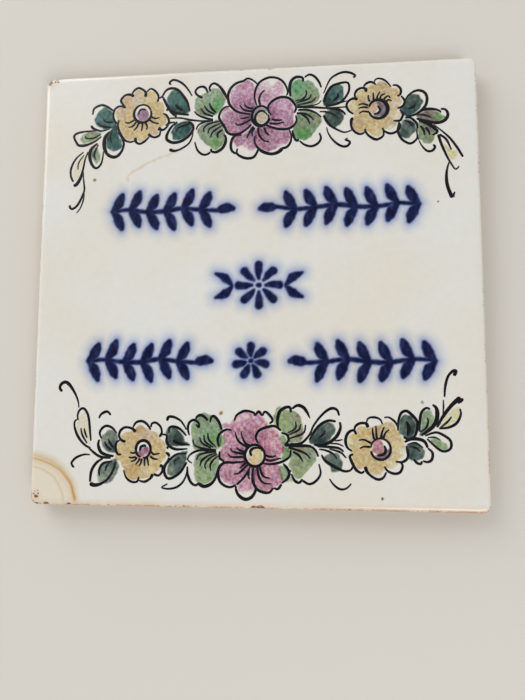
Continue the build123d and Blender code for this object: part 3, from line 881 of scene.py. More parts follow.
right_yellow_head = [
    # the eye
    eye_ring(42.5, 58.5, 3.2, 3.3, 165, -330, 0.7, 1.1, 1.4, 1.5, 1.2, 0.9, 0.7),
    pull(petal, (42.3, 59.8), (43.1, 58.4), (42.6, 57.2), (41, 56.7)),
    # the petals' edges, round from the left
    pull(curl, (34.2, 57.1), (32.6, 58.4), (31.9, 60.4), (32.9, 62.1), (34.7, 62.7), (35.6, 62)),
    pull(curl, (35.05, 63), (34.7, 64), (35.4, 65.5), (37, 66.3), (38.5, 65.8), (38.2, 64.8)),
    pull(petal, (37.7, 66.6), (38.5, 67.7), (40, 68.3), (41.3, 67.8), (41.8, 67.1)),
    pull(vein, (41.3, 68.1), (41.8, 69.1), (43.1, 69.4), (45.1, 68.5), (47, 66.2)),
    pull(petal, (47.4, 66.8), (48.9, 66.6), (50.1, 65.3), (50, 63.5), (48.9, 62.7)),
    pull(edge, (50.2, 62.9), (51.4, 60.95), (50.7, 59.2), (48.8, 58.4)),
    pull(edge, (49.7, 58), (50.7, 56.4), (50.2, 54.8), (49.5, 54.1), (47.4, 54.1)),
    pull(edge, (49.2, 53.8), (49.7, 52.3), (48.7, 50.5), (46.65, 49.7), (44.6, 50.5), (43.7, 51.9)),
    pull(barb, (44.1, 51), (44, 49), (41.8, 47.8), (39.5, 49), (38.2, 50.7), (38.1, 51.8)),
    pull(curl, (38, 50.5), (36.4, 49.9), (34.7, 50.7), (33.5, 52.5), (33.4, 54.3), (33.6, 55.3),
         (34.3, 55.5)),
    # the stamens
    pull(stamen, (35.9, 60.3), (37.4, 60.6), (39.3, 60)),
    pull(stamen, (35.8, 59), (37.4, 59.4), (39.2, 59.2)),
    pull(stamen, (36, 57.1), (37.4, 57.9), (39.6, 57.6)),
    pull(stamen, (39.3, 63.75), (39.3, 62.4), (39.8, 61.2)),
    pull(stamen, (40.9, 64.5), (41, 63), (41, 61.5)),
    pull(stamen, (43.2, 64.8), (42.3, 63), (42.2, 61.7)),
    pull(stamen, (45, 63.9), (43.6, 63.2), (43.1, 61.7)),
    pull(stamen, (46.7, 62.1), (45.9, 63), (44.7, 62.2), (44.4, 61.2)),
    pull(stamen, (47.2, 61.1), (46.1, 61.6), (45.1, 60.95)),
]

right_sprig_head = [
    pull(leaf, (51.6, 61.25), (52.6, 62.8), (54.8, 64.3), (56.7, 64.4), (58.3, 63.3), (58.8, 61.25),
         (58, 58.7), (55.1, 56.15), (51.6, 55.5)),
    pull(barb, (54.9, 60), (54.3, 58.8), (52.4, 58.1)),
    pull(edge, (49.4, 53.6), (48.9, 50.7), (49.7, 48.2), (51.3, 46.6), (53.2, 45.95), (55.1, 47.5),
         (55.3, 49.1)),
    pull(edge, (51.3, 55), (53.2, 54.9), (55.1, 53), (55.4, 51)),
    pull(vein, (51.1, 54.1), (52.9, 53.3), (53.85, 51.85)),
    pull((0.8, 1.1, 1.0, 0.6), (55.4, 56.5), (57.7, 57.6), (60.2, 57.7), (62.5, 57.1), (63.3, 56.3)),
    pull(bold, (63.1, 57.6), (64.7, 57.3), (65.5, 55.5), (64.4, 53.6), (61.8, 52.8), (58.3, 53.6),
         (55.1, 54.55)),
    pull(vein, (55.4, 55.8), (57.7, 55.7), (60.1, 54.7)),
    pull(tendril, (55.8, 46.9), (56.7, 45), (58.3, 43.2), (59.9, 43.1), (61, 44.35), (60.4, 45.3)),
    pull(hair, (55.3, 51.6), (55.2, 49.4), (55.8, 46.9)),
    pull((0.8, 1.4, 1.1, 0.6), (55.8, 53.9), (58.95, 52.6), (61.5, 50.4), (61.8, 49.5), (60.2, 48.5)),
    pull(quill, (56.4, 52), (57.4, 50.4), (57.7, 48.5)),
    pull(quill, (58, 51.4), (59, 50), (59.4, 48.5)),
    pull(fall, (62.1, 48.8), (63.1, 45.3), (64.7, 41.2), (66, 38.6), (67.4, 36.5), (68.7, 37.5)),
    pull(tendril, (60.7, 52.3), (65.3, 48), (67.9, 44.4), (70, 40.6)),
    pull(quill, (62.5, 48.8), (64.7, 46.9), (66.3, 43.2)),
    pull((0.5, 0.8, 1.1, 1.2, 1.3), (65.5, 39.2), (64.7, 36.6), (64.4, 33.6), (64.8, 30.4), (66.1, 26.7)),
    pull(vein, (67, 28.8), (66.5, 27.6), (66.8, 26.9)),
]

head_strokes = left_sprig_head + left_yellow_head + left_middle_head + pink_head
head_strokes += right_middle_head + right_yellow_head + right_sprig_head
line_work("garland_head_line", head_strokes, manganese_black, "garland_paint")

# The colours of the foot garland: the same oxide washes as at the head, brushed a little more freely, so
# that pink and green run over the drawing at the middle flower.

foot = blank_sheet(-68, 70, -74, -29, grid_step)

# left sprig
wash(foot, [(-59.3, -46.3), (-57.7, -44.6), (-56.4, -45.6), (-54.8, -53), (-54.8, -55.2), (-56.4, -54),
            (-58.9, -51.4), (-59.7, -49.1)], ivory, strength=0.9)
wash(foot, [(-51, -52.7), (-48.9, -50.4), (-47.1, -50.2), (-45.7, -51.3), (-45.2, -53.1), (-46.2, -57.2),
            (-47.9, -57.6), (-49.6, -56.6), (-50.7, -54.9)],
     sage, [(-50, -53.4, 1.5, leaf_stone), (-46.8, -56, 1.8, slate_deep)])
wash(foot, [(-51.8, -63.1), (-50.4, -61.3), (-46.1, -59.9), (-45, -61.3), (-45, -63.4), (-47.9, -67.6),
            (-51.7, -66.8)],
     sage, [(-51, -66, 1.7, leaf_grey), (-47, -60.8, 1.6, slate), (-46.4, -64.2, 1.2, leaf_stone)])

# yellow flower on the left
wash(foot, [(-45, -54.4), (-43.6, -53.9), (-44.2, -52.6), (-43.2, -51.2), (-39.6, -50.1), (-38.9, -48.9),
            (-37.5, -48.5), (-34.3, -50.2), (-32.5, -50.6), (-31.4, -51.6), (-30.9, -52.8), (-29.6, -53.7),
            (-28.9, -55.2), (-28.9, -56.9), (-28.6, -58.6), (-29.5, -60), (-30.7, -61.1), (-30.8, -62.6),
            (-33.6, -65.1), (-35.7, -66), (-37.5, -66), (-39.6, -66.6), (-41.3, -66), (-42.5, -64.4),
            (-43.6, -61.9), (-44.6, -60.2), (-46, -60.2), (-45.8, -58.3), (-45.9, -56.9)],
     ochre, [(-35.2, -51.4, 2.4, peach), (-40.2, -63.4, 2.6, amber), (-34, -63.4, 2, straw),
     (-37.4, -49.8, 1.8, tan)], spared=[(-36.5, -56.5, 2.5)])
wash(foot, [(-38.5, -57.9), (-36.6, -56), (-35.1, -55.8), (-34.4, -57.1), (-35, -58.6), (-37.8, -58.9)],
     rose_deep, [(-35.6, -58.4, 0.9, peach)])

# blue-green leaves left of the middle
wash(foot, [(-28.9, -51), (-28.2, -49.4), (-26.4, -48.7), (-24.5, -50), (-22.8, -52.3), (-22.4, -53.6),
            (-20.9, -54.8), (-22.2, -55.2), (-26.4, -55.2), (-28, -54.2)],
     slate, [(-25, -53, 2, ink_green), (-28, -50.6, 1.4, sage)])
wash(foot, [(-28.3, -63.2), (-28, -61.6), (-26.7, -59.6), (-24.7, -57.9), (-22.4, -57), (-21.4, -57.5),
            (-22.5, -61.5), (-24, -63.5), (-26, -64.8), (-27.7, -64.8)],
     slate, [(-27.3, -63, 1.7, leaf_stone)])

# green leaves left of the middle
wash(foot, [(-20.4, -49.3), (-19.6, -47.3), (-17.4, -44.6), (-15.7, -44.2), (-14.1, -45), (-12.4, -45.7),
            (-10.2, -49.6), (-10.4, -54.6), (-11.2, -55.8), (-13.4, -56.3), (-16.4, -56.4), (-19.3, -56.2),
            (-19.9, -53.6)],
     leaf_green, [(-13, -52.6, 2, leaf_fresh), (-19, -50.4, 1.8, leaf_light), (-18, -55, 1.8, leaf_olive),
     (-15.6, -46.4, 1.8, leaf_moss)])
wash(foot, [(-19.2, -59.2), (-18.1, -57.6), (-15.4, -56.9), (-12.3, -57), (-10.9, -58.6), (-10.9, -60.6),
            (-12.2, -64.8), (-13.8, -66.7), (-16.1, -67.4), (-18.1, -66.7), (-19.1, -65.2)],
     leaf_light, [(-12.2, -62.6, 2, leaf_green), (-18, -58.4, 1.6, leaf_olive)])

# pink flower in the middle, wetter still than at the head, with the green that ran into its outer petals
loose_wash = {"grain": 1.6, "run": 0.4, "soft": 0.8}
wash(foot, [(-9.7, -48.3), (-8.7, -47.7), (-7.4, -48.6), (-5.4, -45.8), (-3.6, -44.7), (-1.5, -44.4),
            (0.6, -45), (2.1, -45), (4.6, -47.9), (2.8, -49), (1.4, -50.9), (0.3, -54.3), (-1.9, -54.1),
            (-3.6, -52.7), (-5.1, -50.6), (-7.6, -49.2)],
     pink, [(-0.8, -51.4, 2.4, pink_deep), (-4.6, -46.6, 1.8, pink_pale), (1.6, -46, 1.6, rose_light),
     (-2.6, -45.2, 1.4, rose_white)], **loose_wash)
wash(foot, [(1.7, -52.4), (2.8, -50.6), (4.9, -49.4), (7, -49.7), (8.3, -51.3), (8.9, -53.1), (9.9, -56),
            (7.6, -59.5), (5.2, -60.2), (4.2, -58), (3.9, -56.3), (2.4, -54.5)],
     pink, [(3.4, -52.6, 2, pink_deep), (6.2, -53.8, 2, pink_pale), (5.6, -57, 1.8, pink_mid)],
     **loose_wash)
wash(foot, [(9.6, -51.4), (11, -51.7), (11.3, -53.2), (10.6, -54.8), (12, -56), (12.4, -57.6), (11, -59.2),
            (9.2, -59.2), (9.9, -57.2), (10, -55.2), (9.2, -53)], leaf_green, strength=0.95)
wash(foot, [(1.4, -62.5), (2.8, -61.4), (8, -61.2), (9.5, -65.2), (8.8, -66.8), (5.3, -68.9), (3.1, -69),
            (1.5, -67.4), (0.8, -64.9)],
     pink, [(2.4, -63.6, 1.8, pink_deep), (5.8, -63, 1.8, pink_light), (4, -67.6, 1.6, pink_mid),
     (8.2, -65.2, 1.4, rose_mid)], **loose_wash)
wash(foot, [(9, -61.2), (11, -61.4), (11.8, -63.2), (11.3, -65), (10, -66), (9.4, -64.6)],
     leaf_green, strength=0.95)
wash(foot, [(-1.9, -64.6), (-3.2, -66.4), (-4.4, -68), (-3.4, -69.4), (0, -68.8), (0.6, -67),
            (-0.3, -65.4)],
     pink, [(-2, -69, 1.4, pink_pale), (-1, -66.6, 1.2, pink_light)], grain=1.6, run=0.2, soft=1.6)
wash(foot, [(-10.4, -62), (-8.6, -61.1), (-5.1, -60.9), (-2.2, -60.9), (-1.6, -62.4), (-2.9, -64.8),
            (-5.3, -66.8), (-7.6, -66.9), (-9.6, -65.6), (-10.6, -63.8)],
     pink, [(-6.4, -61.9, 1.8, pink_pale), (-7.4, -64.2, 1.9, pink_mid), (-3, -62.6, 1.2, pink_deep)],
     **loose_wash)
wash(foot, [(-10.5, -57.7), (-10, -56.2), (-8.7, -54.5), (-9.2, -50.9), (-8.2, -49.9), (-6.2, -50.1),
            (-5.1, -52.4), (-2.9, -54.5), (-2.8, -58.4), (-2.8, -60), (-6.9, -60.1), (-9.3, -59.4)],
     pink, [(-4, -57.2, 2, pink_deep), (-7, -53, 1.9, pink_light), (-8.6, -57.4, 1.6, pink_mid)],
     **loose_wash)
wash(foot, [(-10.8, -52.7), (-9.6, -51.7), (-8.9, -53.3), (-9.7, -55.2), (-11, -54.9)],
     leaf_light, strength=0.9)
wash(foot, [(-3.6, -58.2), (-2.4, -54.8), (0.9, -53.6), (4.2, -54.8), (5.4, -58.2), (4.2, -61.6),
            (0.9, -62.8), (-2.4, -61.6)], pink, spared=[(0.9, -58.2, 3.5)], strength=0.45, soft=1.2)
wash(foot, [(-0.9, -61.4), (0.5, -61.6), (0.9, -64), (0.8, -66.6), (-0.2, -66.2)], mauve, soft=0.7)
wash(foot, [(-1.5, -57.7), (-0.4, -56), (1.6, -55.4), (3.2, -56.6), (3.5, -58.6), (2.9, -60.4), (1, -61.1),
            (-0.8, -60.4), (-1.6, -59.2)],
     straw, [(-0.9, -59, 1.1, peach), (-0.8, -57, 1.1, ivory), (2.8, -60, 1.1, buff)])

# green leaves right of the middle
wash(foot, [(7.8, -43), (9, -42.2), (10.4, -43), (14.2, -43.8), (15.8, -45.7), (16.8, -50.4), (16.4, -52.4),
            (14.6, -53.6), (12.4, -53.8), (11.6, -52), (9.9, -50.6), (7.3, -47.2)],
     leaf_light, [(15.2, -45.2, 2, leaf_brown), (15.6, -51, 2.2, leaf_brown), (7.8, -44.4, 1.2, leaf_grey)])
wash(foot, [(10.8, -55.6), (13.1, -55), (16.7, -54.8), (19.5, -55.7), (20.8, -57.5), (20.6, -59.6),
            (19.2, -61.1), (18.1, -62.8), (16, -64.9), (14.6, -65.3), (13.5, -64.2), (13, -62.8), (12, -61),
            (12.4, -58.4)],
     leaf_light, [(18.6, -56.8, 2.4, leaf_stone), (16, -56.2, 1.6, leaf_brown),
     (14.6, -60.6, 1, leaf_brown)])
wash(foot, [(11.8, -64.6), (12.9, -64.6), (13.4, -66), (12.2, -66.4), (11, -66)], leaf_grey, strength=0.6)

# blue-green leaves right of the middle
wash(foot, [(18.8, -53), (22.4, -48.3), (25.2, -47.2), (26.6, -48.2), (27, -50), (23.9, -54.2),
            (21.4, -54.8)], slate, [(22, -53.4, 2.2, ink_green), (25.6, -48.6, 1.4, sage)])
wash(foot, [(23.7, -57.9), (27.1, -56.9), (28.5, -58.2), (29.2, -60.4), (28.9, -62), (27.4, -62.9),
            (25.7, -62.8), (25.3, -61.4), (24.2, -60)],
     sage_dark, [(28.2, -60.2, 1.5, slate), (26.8, -62.2, 1.3, slate)])

# yellow flower on the right
wash(foot, [(31, -53.2), (31.6, -51.2), (33.2, -50.6), (33.9, -49.1), (35.4, -48.3), (37.4, -48.7),
            (42, -47.6), (43.8, -46.8), (45.3, -47.3), (46.6, -49.2), (48.9, -53.4), (49.2, -55.8),
            (48.2, -57.8), (46.6, -58.8), (46.5, -60.3), (45.2, -61.7), (43.2, -61.4), (42.4, -62.4),
            (41, -63.6), (39.2, -63.9), (36.2, -61.6), (34.6, -62.1), (33.2, -61), (32.3, -59),
            (31.9, -55.8), (31.2, -54.6)],
     ochre, [(40.6, -49, 2.2, tan), (46.6, -54.6, 2.2, straw), (45.4, -60.4, 2, cream),
     (31.6, -53.2, 1.5, cream), (48.7, -56.4, 1.6, ivory), (40.2, -63.6, 1.2, sand)],
     spared=[(41.3, -55.6, 3)], soft=0.9)
wash(foot, [(38.7, -55.3), (39.2, -53.4), (40.6, -52.6), (42, -53.6), (42.6, -55.3), (42, -56.9),
            (40.4, -57.3), (39, -56.5)], blush, [(40, -53.6, 1, pink)])
wash(foot, [(39.5, -57.4), (42.2, -57), (43.2, -55.8), (44.3, -55.4), (44.6, -56.8), (43.6, -58.3),
            (41.8, -59), (40.2, -58.6)], plum)

# right sprig
wash(foot, [(47.6, -46), (49, -44.7), (50.6, -44.7), (52.2, -46), (52.8, -47.9), (52.3, -49.9), (51, -51.8),
            (49.6, -52.3), (47.5, -49.9)],
     slate, [(48.4, -48.4, 1.4, sage_dark), (51.4, -49.4, 1.8, ink_green)])
wash(foot, [(54.3, -48.6), (54.4, -45.9), (55.3, -43.7), (56.9, -43), (58, -44.3), (58.3, -46.6),
            (57.3, -48.6), (54, -51.2)],
     leaf_green, [(55, -50.4, 1.5, slate), (57.6, -44.6, 1.2, leaf_grey)])
wash(foot, [(59.9, -48.2), (63.6, -43.3), (65.6, -41.8), (66.5, -42.6), (66.2, -44.8), (64.6, -46.8),
            (62.2, -48.1)], cream, strength=0.9)
wash(foot, [(57.3, -51.9), (58.9, -51.5), (62.2, -54.2), (62.1, -55.3), (60.6, -55.5), (57.3, -53.2)],
     leaf_green, [(61, -54.5, 1.7, leaf_light)])
wash(foot, [(49.6, -54.2), (51.3, -53.5), (53.6, -54.2), (55.2, -55.9), (54.8, -57.9), (53.6, -58.7),
            (51, -59), (50, -57.9)], slate, [(51, -57, 1.6, slate_deep), (54.2, -56.2, 1.4, sage_dark)])

# old marks near the foot garland: specks that came up through the glaze
speck(foot, -10.5, -44.5, 0.7, rust)
speck(foot, 41.8, -71.1, 0.4, soot)
speck(foot, 54.8, -40.5, 0.45, lilac_grey)

paint_film("garland_foot_colour", foot, oxide_washes, "garland_paint", wash_lift)

# The drawing of the foot garland: the same manganese black and the same liner brush as at the head, laid
# over the foot's dry washes and fired with them.

left_sprig_foot = [
    pull((0.9, 1.1, 1.2, 0.9, 0.7, 0.4), (-65.2, -37.3), (-66.1, -36.1), (-65.6, -34.7), (-64.2, -34.05),
         (-62.7, -35), (-60.8, -37.7), (-59.5, -40.6), (-59.15, -42.8)),
    pull(edge, (-59.3, -47), (-59.5, -45.3), (-59, -43.7), (-57.8, -42.9), (-56.7, -43.7), (-55.6, -46.3),
         (-54.6, -53.9)),
    pull(barb, (-59.7, -46.6), (-60.5, -47.6), (-60.3, -49.7), (-59, -52.6), (-56.9, -55), (-54.6, -56.3)),
    pull(vein, (-58.2, -49.5), (-57.7, -51.8), (-55.9, -54.7)),
    pull(vein, (-57.1, -49.6), (-56.6, -51.4), (-55.9, -52.9)),
    pull(edge, (-55.4, -56), (-53.3, -57.8), (-50.9, -59.1), (-47.5, -59.4)),
    pull(barb, (-52.1, -46.3), (-51.2, -44.8), (-49.3, -44), (-47.9, -45.2)),
    pull(edge, (-50.9, -53.1), (-51.6, -51), (-50.4, -49.2), (-48.8, -48.8), (-47, -49.7), (-45.7, -51.3)),
    pull(bold, (-51.7, -53.3), (-52, -55.2), (-50.9, -57.6), (-48.3, -58.6), (-46.5, -58.75)),
    pull(feather, (-49.9, -53.9), (-49.1, -55.5), (-47.3, -56.8)),
    pull(feather, (-48.7, -53), (-47.8, -54.7), (-46.7, -56)),
    pull(leaf, (-50.2, -59.5), (-52.5, -61.1), (-54.1, -63.8), (-54.5, -67.4)),
    pull((1.5, 1.2, 0.8, 0.8, 0.9, 0.7), (-54.6, -67.8), (-53, -68.4), (-50.7, -67.9), (-48.3, -66.2),
         (-46.5, -63.1), (-45.8, -60.5)),
    pull(petal, (-51.3, -65.4), (-51.4, -63.3), (-50.1, -61.2), (-47, -60.5)),
    pull(vein, (-49.5, -63.85), (-48.8, -62), (-47.8, -60.9)),
    pull(feather, (-54.7, -58.4), (-56.9, -58.4), (-59.5, -59.4), (-61, -61), (-60.85, -62),
         (-60.1, -62.7)),
]

left_yellow_foot = [
    # the eye
    eye_ring(-36.5, -56.4, 2.5, 2.9, 250, -345, 0.7, 1.0, 1.1, 0.9, 0.7),
    pull(leaf, (-37.7, -57.1), (-37.3, -55.7), (-36.2, -55.2), (-35.5, -55.6)),
    # the petals' edges, round from the left
    pull(petal, (-44.5, -53.4), (-45.8, -54.4), (-45.9, -56.5), (-45.2, -58.1), (-43.9, -58.2)),
    pull((1.0, 0.8, 0.9, 0.8, 1.2), (-42.5, -54.05), (-44.2, -53.4), (-44.9, -51.8), (-44.4, -50.25),
         (-42.8, -49.2), (-40.5, -49.6), (-39.15, -50.8)),
    pull(petal, (-40.2, -49.2), (-39.15, -47.6), (-37.3, -47.1), (-35.5, -48), (-34.05, -50)),
    pull((0.6, 0.8, 0.8, 0.7, 1.1), (-34.05, -49.2), (-33.7, -47.9), (-32.35, -47.6), (-30.8, -48.9),
         (-30.3, -50.8), (-31, -52.3)),
    pull(vein, (-31.15, -52.4), (-30.1, -51.5), (-28.6, -51.9), (-28.7, -53.8), (-27.6, -55.3)),
    pull(leaf, (-28.9, -57.35), (-27.9, -58), (-27.7, -58.9)),
    pull(vein, (-27.7, -58.9), (-28.4, -60.6), (-29.8, -62.2)),
    pull((1.2, 0.8, 0.8, 0.9), (-30.8, -61.4), (-29.9, -62.2), (-30, -63.7), (-31.15, -64.9),
         (-32.9, -64.5)),
    pull(feather, (-43.1, -63.3), (-42, -65.9), (-40.2, -67.1), (-38.4, -67), (-37.7, -65.4)),
    pull(curl, (-37.8, -66.7), (-35.75, -67), (-33.9, -65.9), (-33.1, -64.4)),
    # the stamens
    pull(stamen, (-41, -57.4), (-40.2, -57.7), (-39, -57.5)),
    pull(stamen, (-41.5, -59.1), (-40.2, -59.2), (-38.9, -58.9)),
    pull(stamen, (-40.8, -60.5), (-39.4, -60.1), (-38.5, -59)),
    pull(stamen, (-39.1, -61.5), (-38.2, -60.5), (-37.6, -59.3)),
    pull(stamen, (-37.8, -62), (-37.2, -60.8), (-36.9, -59.4)),
    pull(stamen, (-35.9, -62), (-36, -60.7), (-35.9, -59.2)),
    pull(stamen, (-34.6, -61.9), (-34.8, -60.6), (-35.2, -59)),
    pull(stamen, (-30.8, -57.7), (-32.9, -58), (-33.9, -57.05)),
    pull(stamen, (-31.4, -59.7), (-33.1, -59.4), (-34.2, -58.6)),
]

left_middle_foot = [
    # the two blue-green leaves and their tendrils
    pull(fall, (-28.6, -47), (-28.1, -45.7), (-26.3, -45.7), (-24, -46.9), (-22.5, -48.9), (-22, -49.9)),
    pull(edge, (-27.8, -51), (-27.8, -49.4), (-26.6, -48.8), (-24.5, -49.4), (-22.7, -51), (-22, -51.9)),
    pull((0.7, 1.1, 1.0, 0.8, 0.5), (-28.6, -52.2), (-28.6, -53.8), (-27.6, -55.3), (-25.3, -56.3),
         (-21.5, -56.1)),
    pull((1.1, 1.2, 0.4), (-26.6, -53.4), (-24.4, -54.4), (-20.7, -54.8)),
    pull((1.1, 1.1), (-28.685, -55.965), (-28.3, -55.8), (-27.915, -55.635)),
    pull(leaf, (-21.7, -57.6), (-25, -57.9), (-27.6, -59.9), (-29.1, -61.9), (-29.2, -64), (-28.1, -65.8),
         (-26.3, -65.5), (-23.75, -63.7), (-21.7, -60.4)),
    pull(vein, (-25.7, -61.4), (-25.8, -60.15), (-24, -58.9)),
    pull(vein, (-21.5, -61.9), (-21.8, -64.5), (-23, -67), (-25, -68.6), (-27.6, -69.2), (-30, -68.8),
         (-28, -67.55)),
    # the two green leaves, with veins that run in to the stem
    pull(edge, (-20.95, -51.7), (-21.5, -49.4), (-20.95, -47.4), (-19.4, -46.6), (-17.9, -47.65),
         (-17.8, -49.05), (-18.9, -48)),
    pull(leaf, (-19, -46.5), (-18.4, -45.5), (-17.1, -45), (-15.6, -45.9), (-14.8, -46.9)),
    pull(leaf, (-14.1, -47.4), (-13.55, -45.6), (-12.5, -45.5), (-11, -47.4), (-10.1, -49.9)),
    pull(vein, (-10.7, -50.7), (-11.5, -52.5), (-11.4, -54.3), (-11.1, -55.4)),
    pull(hair, (-21.6, -59.4), (-21, -60.1), (-19.9, -60.8)),
    pull(feather, (-19.8, -53), (-19.2, -54.8), (-16.6, -55.9), (-11.8, -56.5)),
    pull(vein, (-17.5, -52.2), (-16.6, -54.2), (-13.6, -55.8)),
    pull(vein, (-16.1, -51.5), (-15.6, -53.7), (-12.8, -55.6)),
    pull(vein, (-14.8, -50.8), (-14.3, -53.2), (-12, -55.4)),
    pull(barb, (-21.5, -61.8), (-21.3, -64.5), (-20.2, -67), (-18.65, -67.9), (-17.5, -67)),
    pull(heavy, (-17.8, -67.3), (-15.8, -68.2), (-13.5, -67.3), (-12, -65.3), (-11.2, -62.4)),
    pull(feather, (-21.6, -59.9), (-20.7, -58.1), (-18.1, -56.7), (-14.3, -56.5)),
    pull(feather, (-18.5, -59.9), (-17.6, -58.1), (-14.8, -57.2), (-11.8, -56.8)),
    pull((0.5, 0.9, 0.7, 0.4), (-17.3, -61.7), (-16.6, -59.8), (-14.4, -58.2), (-11.7, -57.3)),
    pull(vein, (-15.3, -62.7), (-15.6, -61.2), (-14.2, -59.2), (-11.5, -57.7)),
    pull(vein, (-13.7, -63.2), (-13.8, -61.2), (-12.8, -59.6), (-11.3, -58.3)),
]

pink_foot = [
    # the eye
    eye_ring(0.85, -58.05, 3.3, 3.5, 225, -372, 1.1, 1.1, 0.9, 0.8, 1.0, 1.1),
    pull((0.7, 1.1, 0.7, 0.5), (-0.2, -58.3), (-0.6, -56.7), (0.6, -55.6), (2.6, -55.7), (3.4, -56.7)),
    # the six petals' edges
    pull(barb, (-6, -47), (-5.3, -45.1), (-3.3, -43.8), (-1.5, -43.6), (0.5, -44.2), (0.9, -45.3)),
    pull(barb, (0.8, -45.2), (2.1, -43.8), (3.3, -45.2)),
    pull(petal, (3.3, -45.2), (4.1, -43.8), (5.6, -44.8), (6.7, -46.6), (5.6, -47.7)),
    pull(leaf, (1.9, -54.2), (1.2, -52), (2.3, -49.9), (4.9, -48.8), (7.4, -48.5), (9.5, -49.9)),
    pull(petal, (9.4, -50.6), (11.3, -51.2), (11.9, -53), (10.5, -54.7)),
    pull(petal, (12.6, -56), (12.3, -58.1), (10, -59.8), (6.4, -60.7), (3.4, -60.5)),
    pull(leaf, (0.4, -61.6), (0.15, -65.3), (1.05, -68.1), (2.8, -69.5), (5.4, -69.85), (7, -68.3)),
    pull(edge, (7, -68.3), (8.4, -68.6), (9.7, -67)),
    pull(leaf, (9.6, -66.8), (11.5, -65.3), (12.1, -63.5), (11.3, -61.7), (10.2, -60.7)),
    pull(feather, (-0.5, -61.4), (-2.4, -64.8), (-5.1, -67.6)),
    pull(bold, (-5.3, -67.8), (-5.2, -69.2), (-4.3, -70.9), (-2.3, -72.1), (-0.2, -71.4), (1.1, -69.4),
         (1.2, -67.6)),
    pull(leaf, (-1.9, -59.9), (-6, -60.4), (-8.9, -60.4), (-10.7, -61.7), (-11.2, -63.7), (-10.7, -66.3),
         (-9.15, -67.8), (-7.1, -68.3), (-5.2, -67.5)),
    pull(petal, (-6.7, -49.9), (-8.6, -49.7), (-10.7, -51), (-11.4, -53), (-11.1, -55.3)),
    pull(petal, (-10.8, -56.7), (-10.7, -58.9), (-9.15, -60.15)),
    # the pleats round the eye
    pull(quill, (-1.6, -55.5), (-4.6, -53.3), (-5.7, -50.5)),
    pull(tendril, (-3.7, -50.1), (-3.3, -52.2), (-2, -54.3), (0, -55)),
    pull(feather, (-7.2, -55.6), (-6.35, -56.8), (-2.4, -57.7)),
    pull(feather, (-5.3, -55.4), (-4.4, -56.2), (-2.4, -57)),
    pull(feather, (-8.1, -57.6), (-6.6, -58.6), (-2.4, -58.5)),
    pull(feather, (-6.1, -64), (-4.3, -63.7), (-1.3, -60.8)),
    pull(feather, (-4.05, -62.2), (-3.2, -61.4), (-1.9, -60.3)),
    pull(quill, (4, -57.8), (6.15, -58.4), (7.9, -58)),
    pull(quill, (3.6, -58.9), (5.9, -59.6), (9.5, -58.75)),
    pull(quill, (1.6, -61.5), (2.3, -65), (3.9, -66.8), (6.4, -67)),
    pull(quill, (2.3, -61.3), (3.6, -64.5), (5.9, -65.3)),
    pull(quill, (-1, -62.2), (-1.2, -64.5), (-0.7, -65.8)),
]

right_middle_foot = [
    # the two green leaves and their veins
    pull(bold, (8.45, -49.2), (8.3, -46.4), (9, -43.8), (10.5, -42.55), (12.3, -42.3), (12.7, -44.1)),
    pull((0.7, 1.1, 1.1, 0.4), (13, -42.8), (14.8, -41.7), (16.6, -42.2), (17.9, -43.8), (18.9, -45.9)),
    pull(vein, (14.2, -46.9), (14.3, -48.7), (13.3, -49.8), (11.6, -50.6)),
    pull(vein, (15.9, -47.7), (15.2, -49.6), (11.8, -51.3)),
    pull(vein, (17.5, -47.9), (16.6, -50.7), (12, -52.5)),
    pull((0.8, 0.9, 0.7, 0.7, 0.8, 1.0, 0.7), (12.3, -54.3), (16.1, -53.8), (18.8, -51), (20, -48.3),
         (22.4, -45.1), (24.7, -43.1), (26.5, -42.55), (27.8, -43.3), (28.3, -45)),
    pull(vein, (10.1, -60.4), (11.5, -62.2), (12.8, -63)),
    pull(barb, (12.8, -63.7), (13.8, -65.8), (15.3, -66.5), (16.4, -65.3)),
    pull(quill, (16.3, -65.8), (18.6, -66.9), (20.8, -65.8), (22.2, -63.5), (21.7, -60.4)),
    pull(quill, (11.8, -55.3), (15.3, -56.3), (17.6, -57.35), (19, -58.9)),
    pull(quill, (13.3, -56.6), (15.3, -57.9), (16.6, -59.9)),
    pull(heavy, (10.5, -54.5), (15.3, -54.7), (18.9, -54.9), (20.7, -56.3), (21.5, -58.2)),
    # the two blue-green leaves and their tendrils
    pull(leaf, (18.6, -53), (19.9, -50.7), (21.9, -48.2), (24.7, -46.6), (27.3, -46.8)),
    pull(bold, (28.5, -46.9), (28.7, -48.9), (27.5, -51.5), (25.2, -53.5), (22.4, -54.5), (20.1, -54.3)),
    pull(vein, (23.8, -49.6), (23.4, -50.7), (21.4, -52.5)),
    pull(hair, (26.5, -53), (28, -52.9), (29.4, -52.6)),
    pull(hair, (25, -53.9), (27.8, -54), (29.7, -54.8)),
    pull(edge, (21.2, -54.9), (25, -55), (28.1, -55.4), (29.7, -56.5)),
    pull(vein, (25, -55.6), (28.6, -56.7), (30.5, -58.5)),
    pull((0.6, 1.1, 1.0, 0.8, 0.6), (22.5, -57.5), (23.7, -59.4), (26, -60.9), (28.5, -62.2), (30.3, -62.7),
         (31.9, -62.2), (32.6, -60.9)),
    pull(vein, (21.7, -55.7), (24.2, -56.2), (26.5, -57.35), (27.5, -58.9)),
    pull(vein, (25, -65.1), (26.2, -66.8), (27.8, -68.1), (29.3, -68.4), (30.8, -67.8), (32, -66.5)),
]

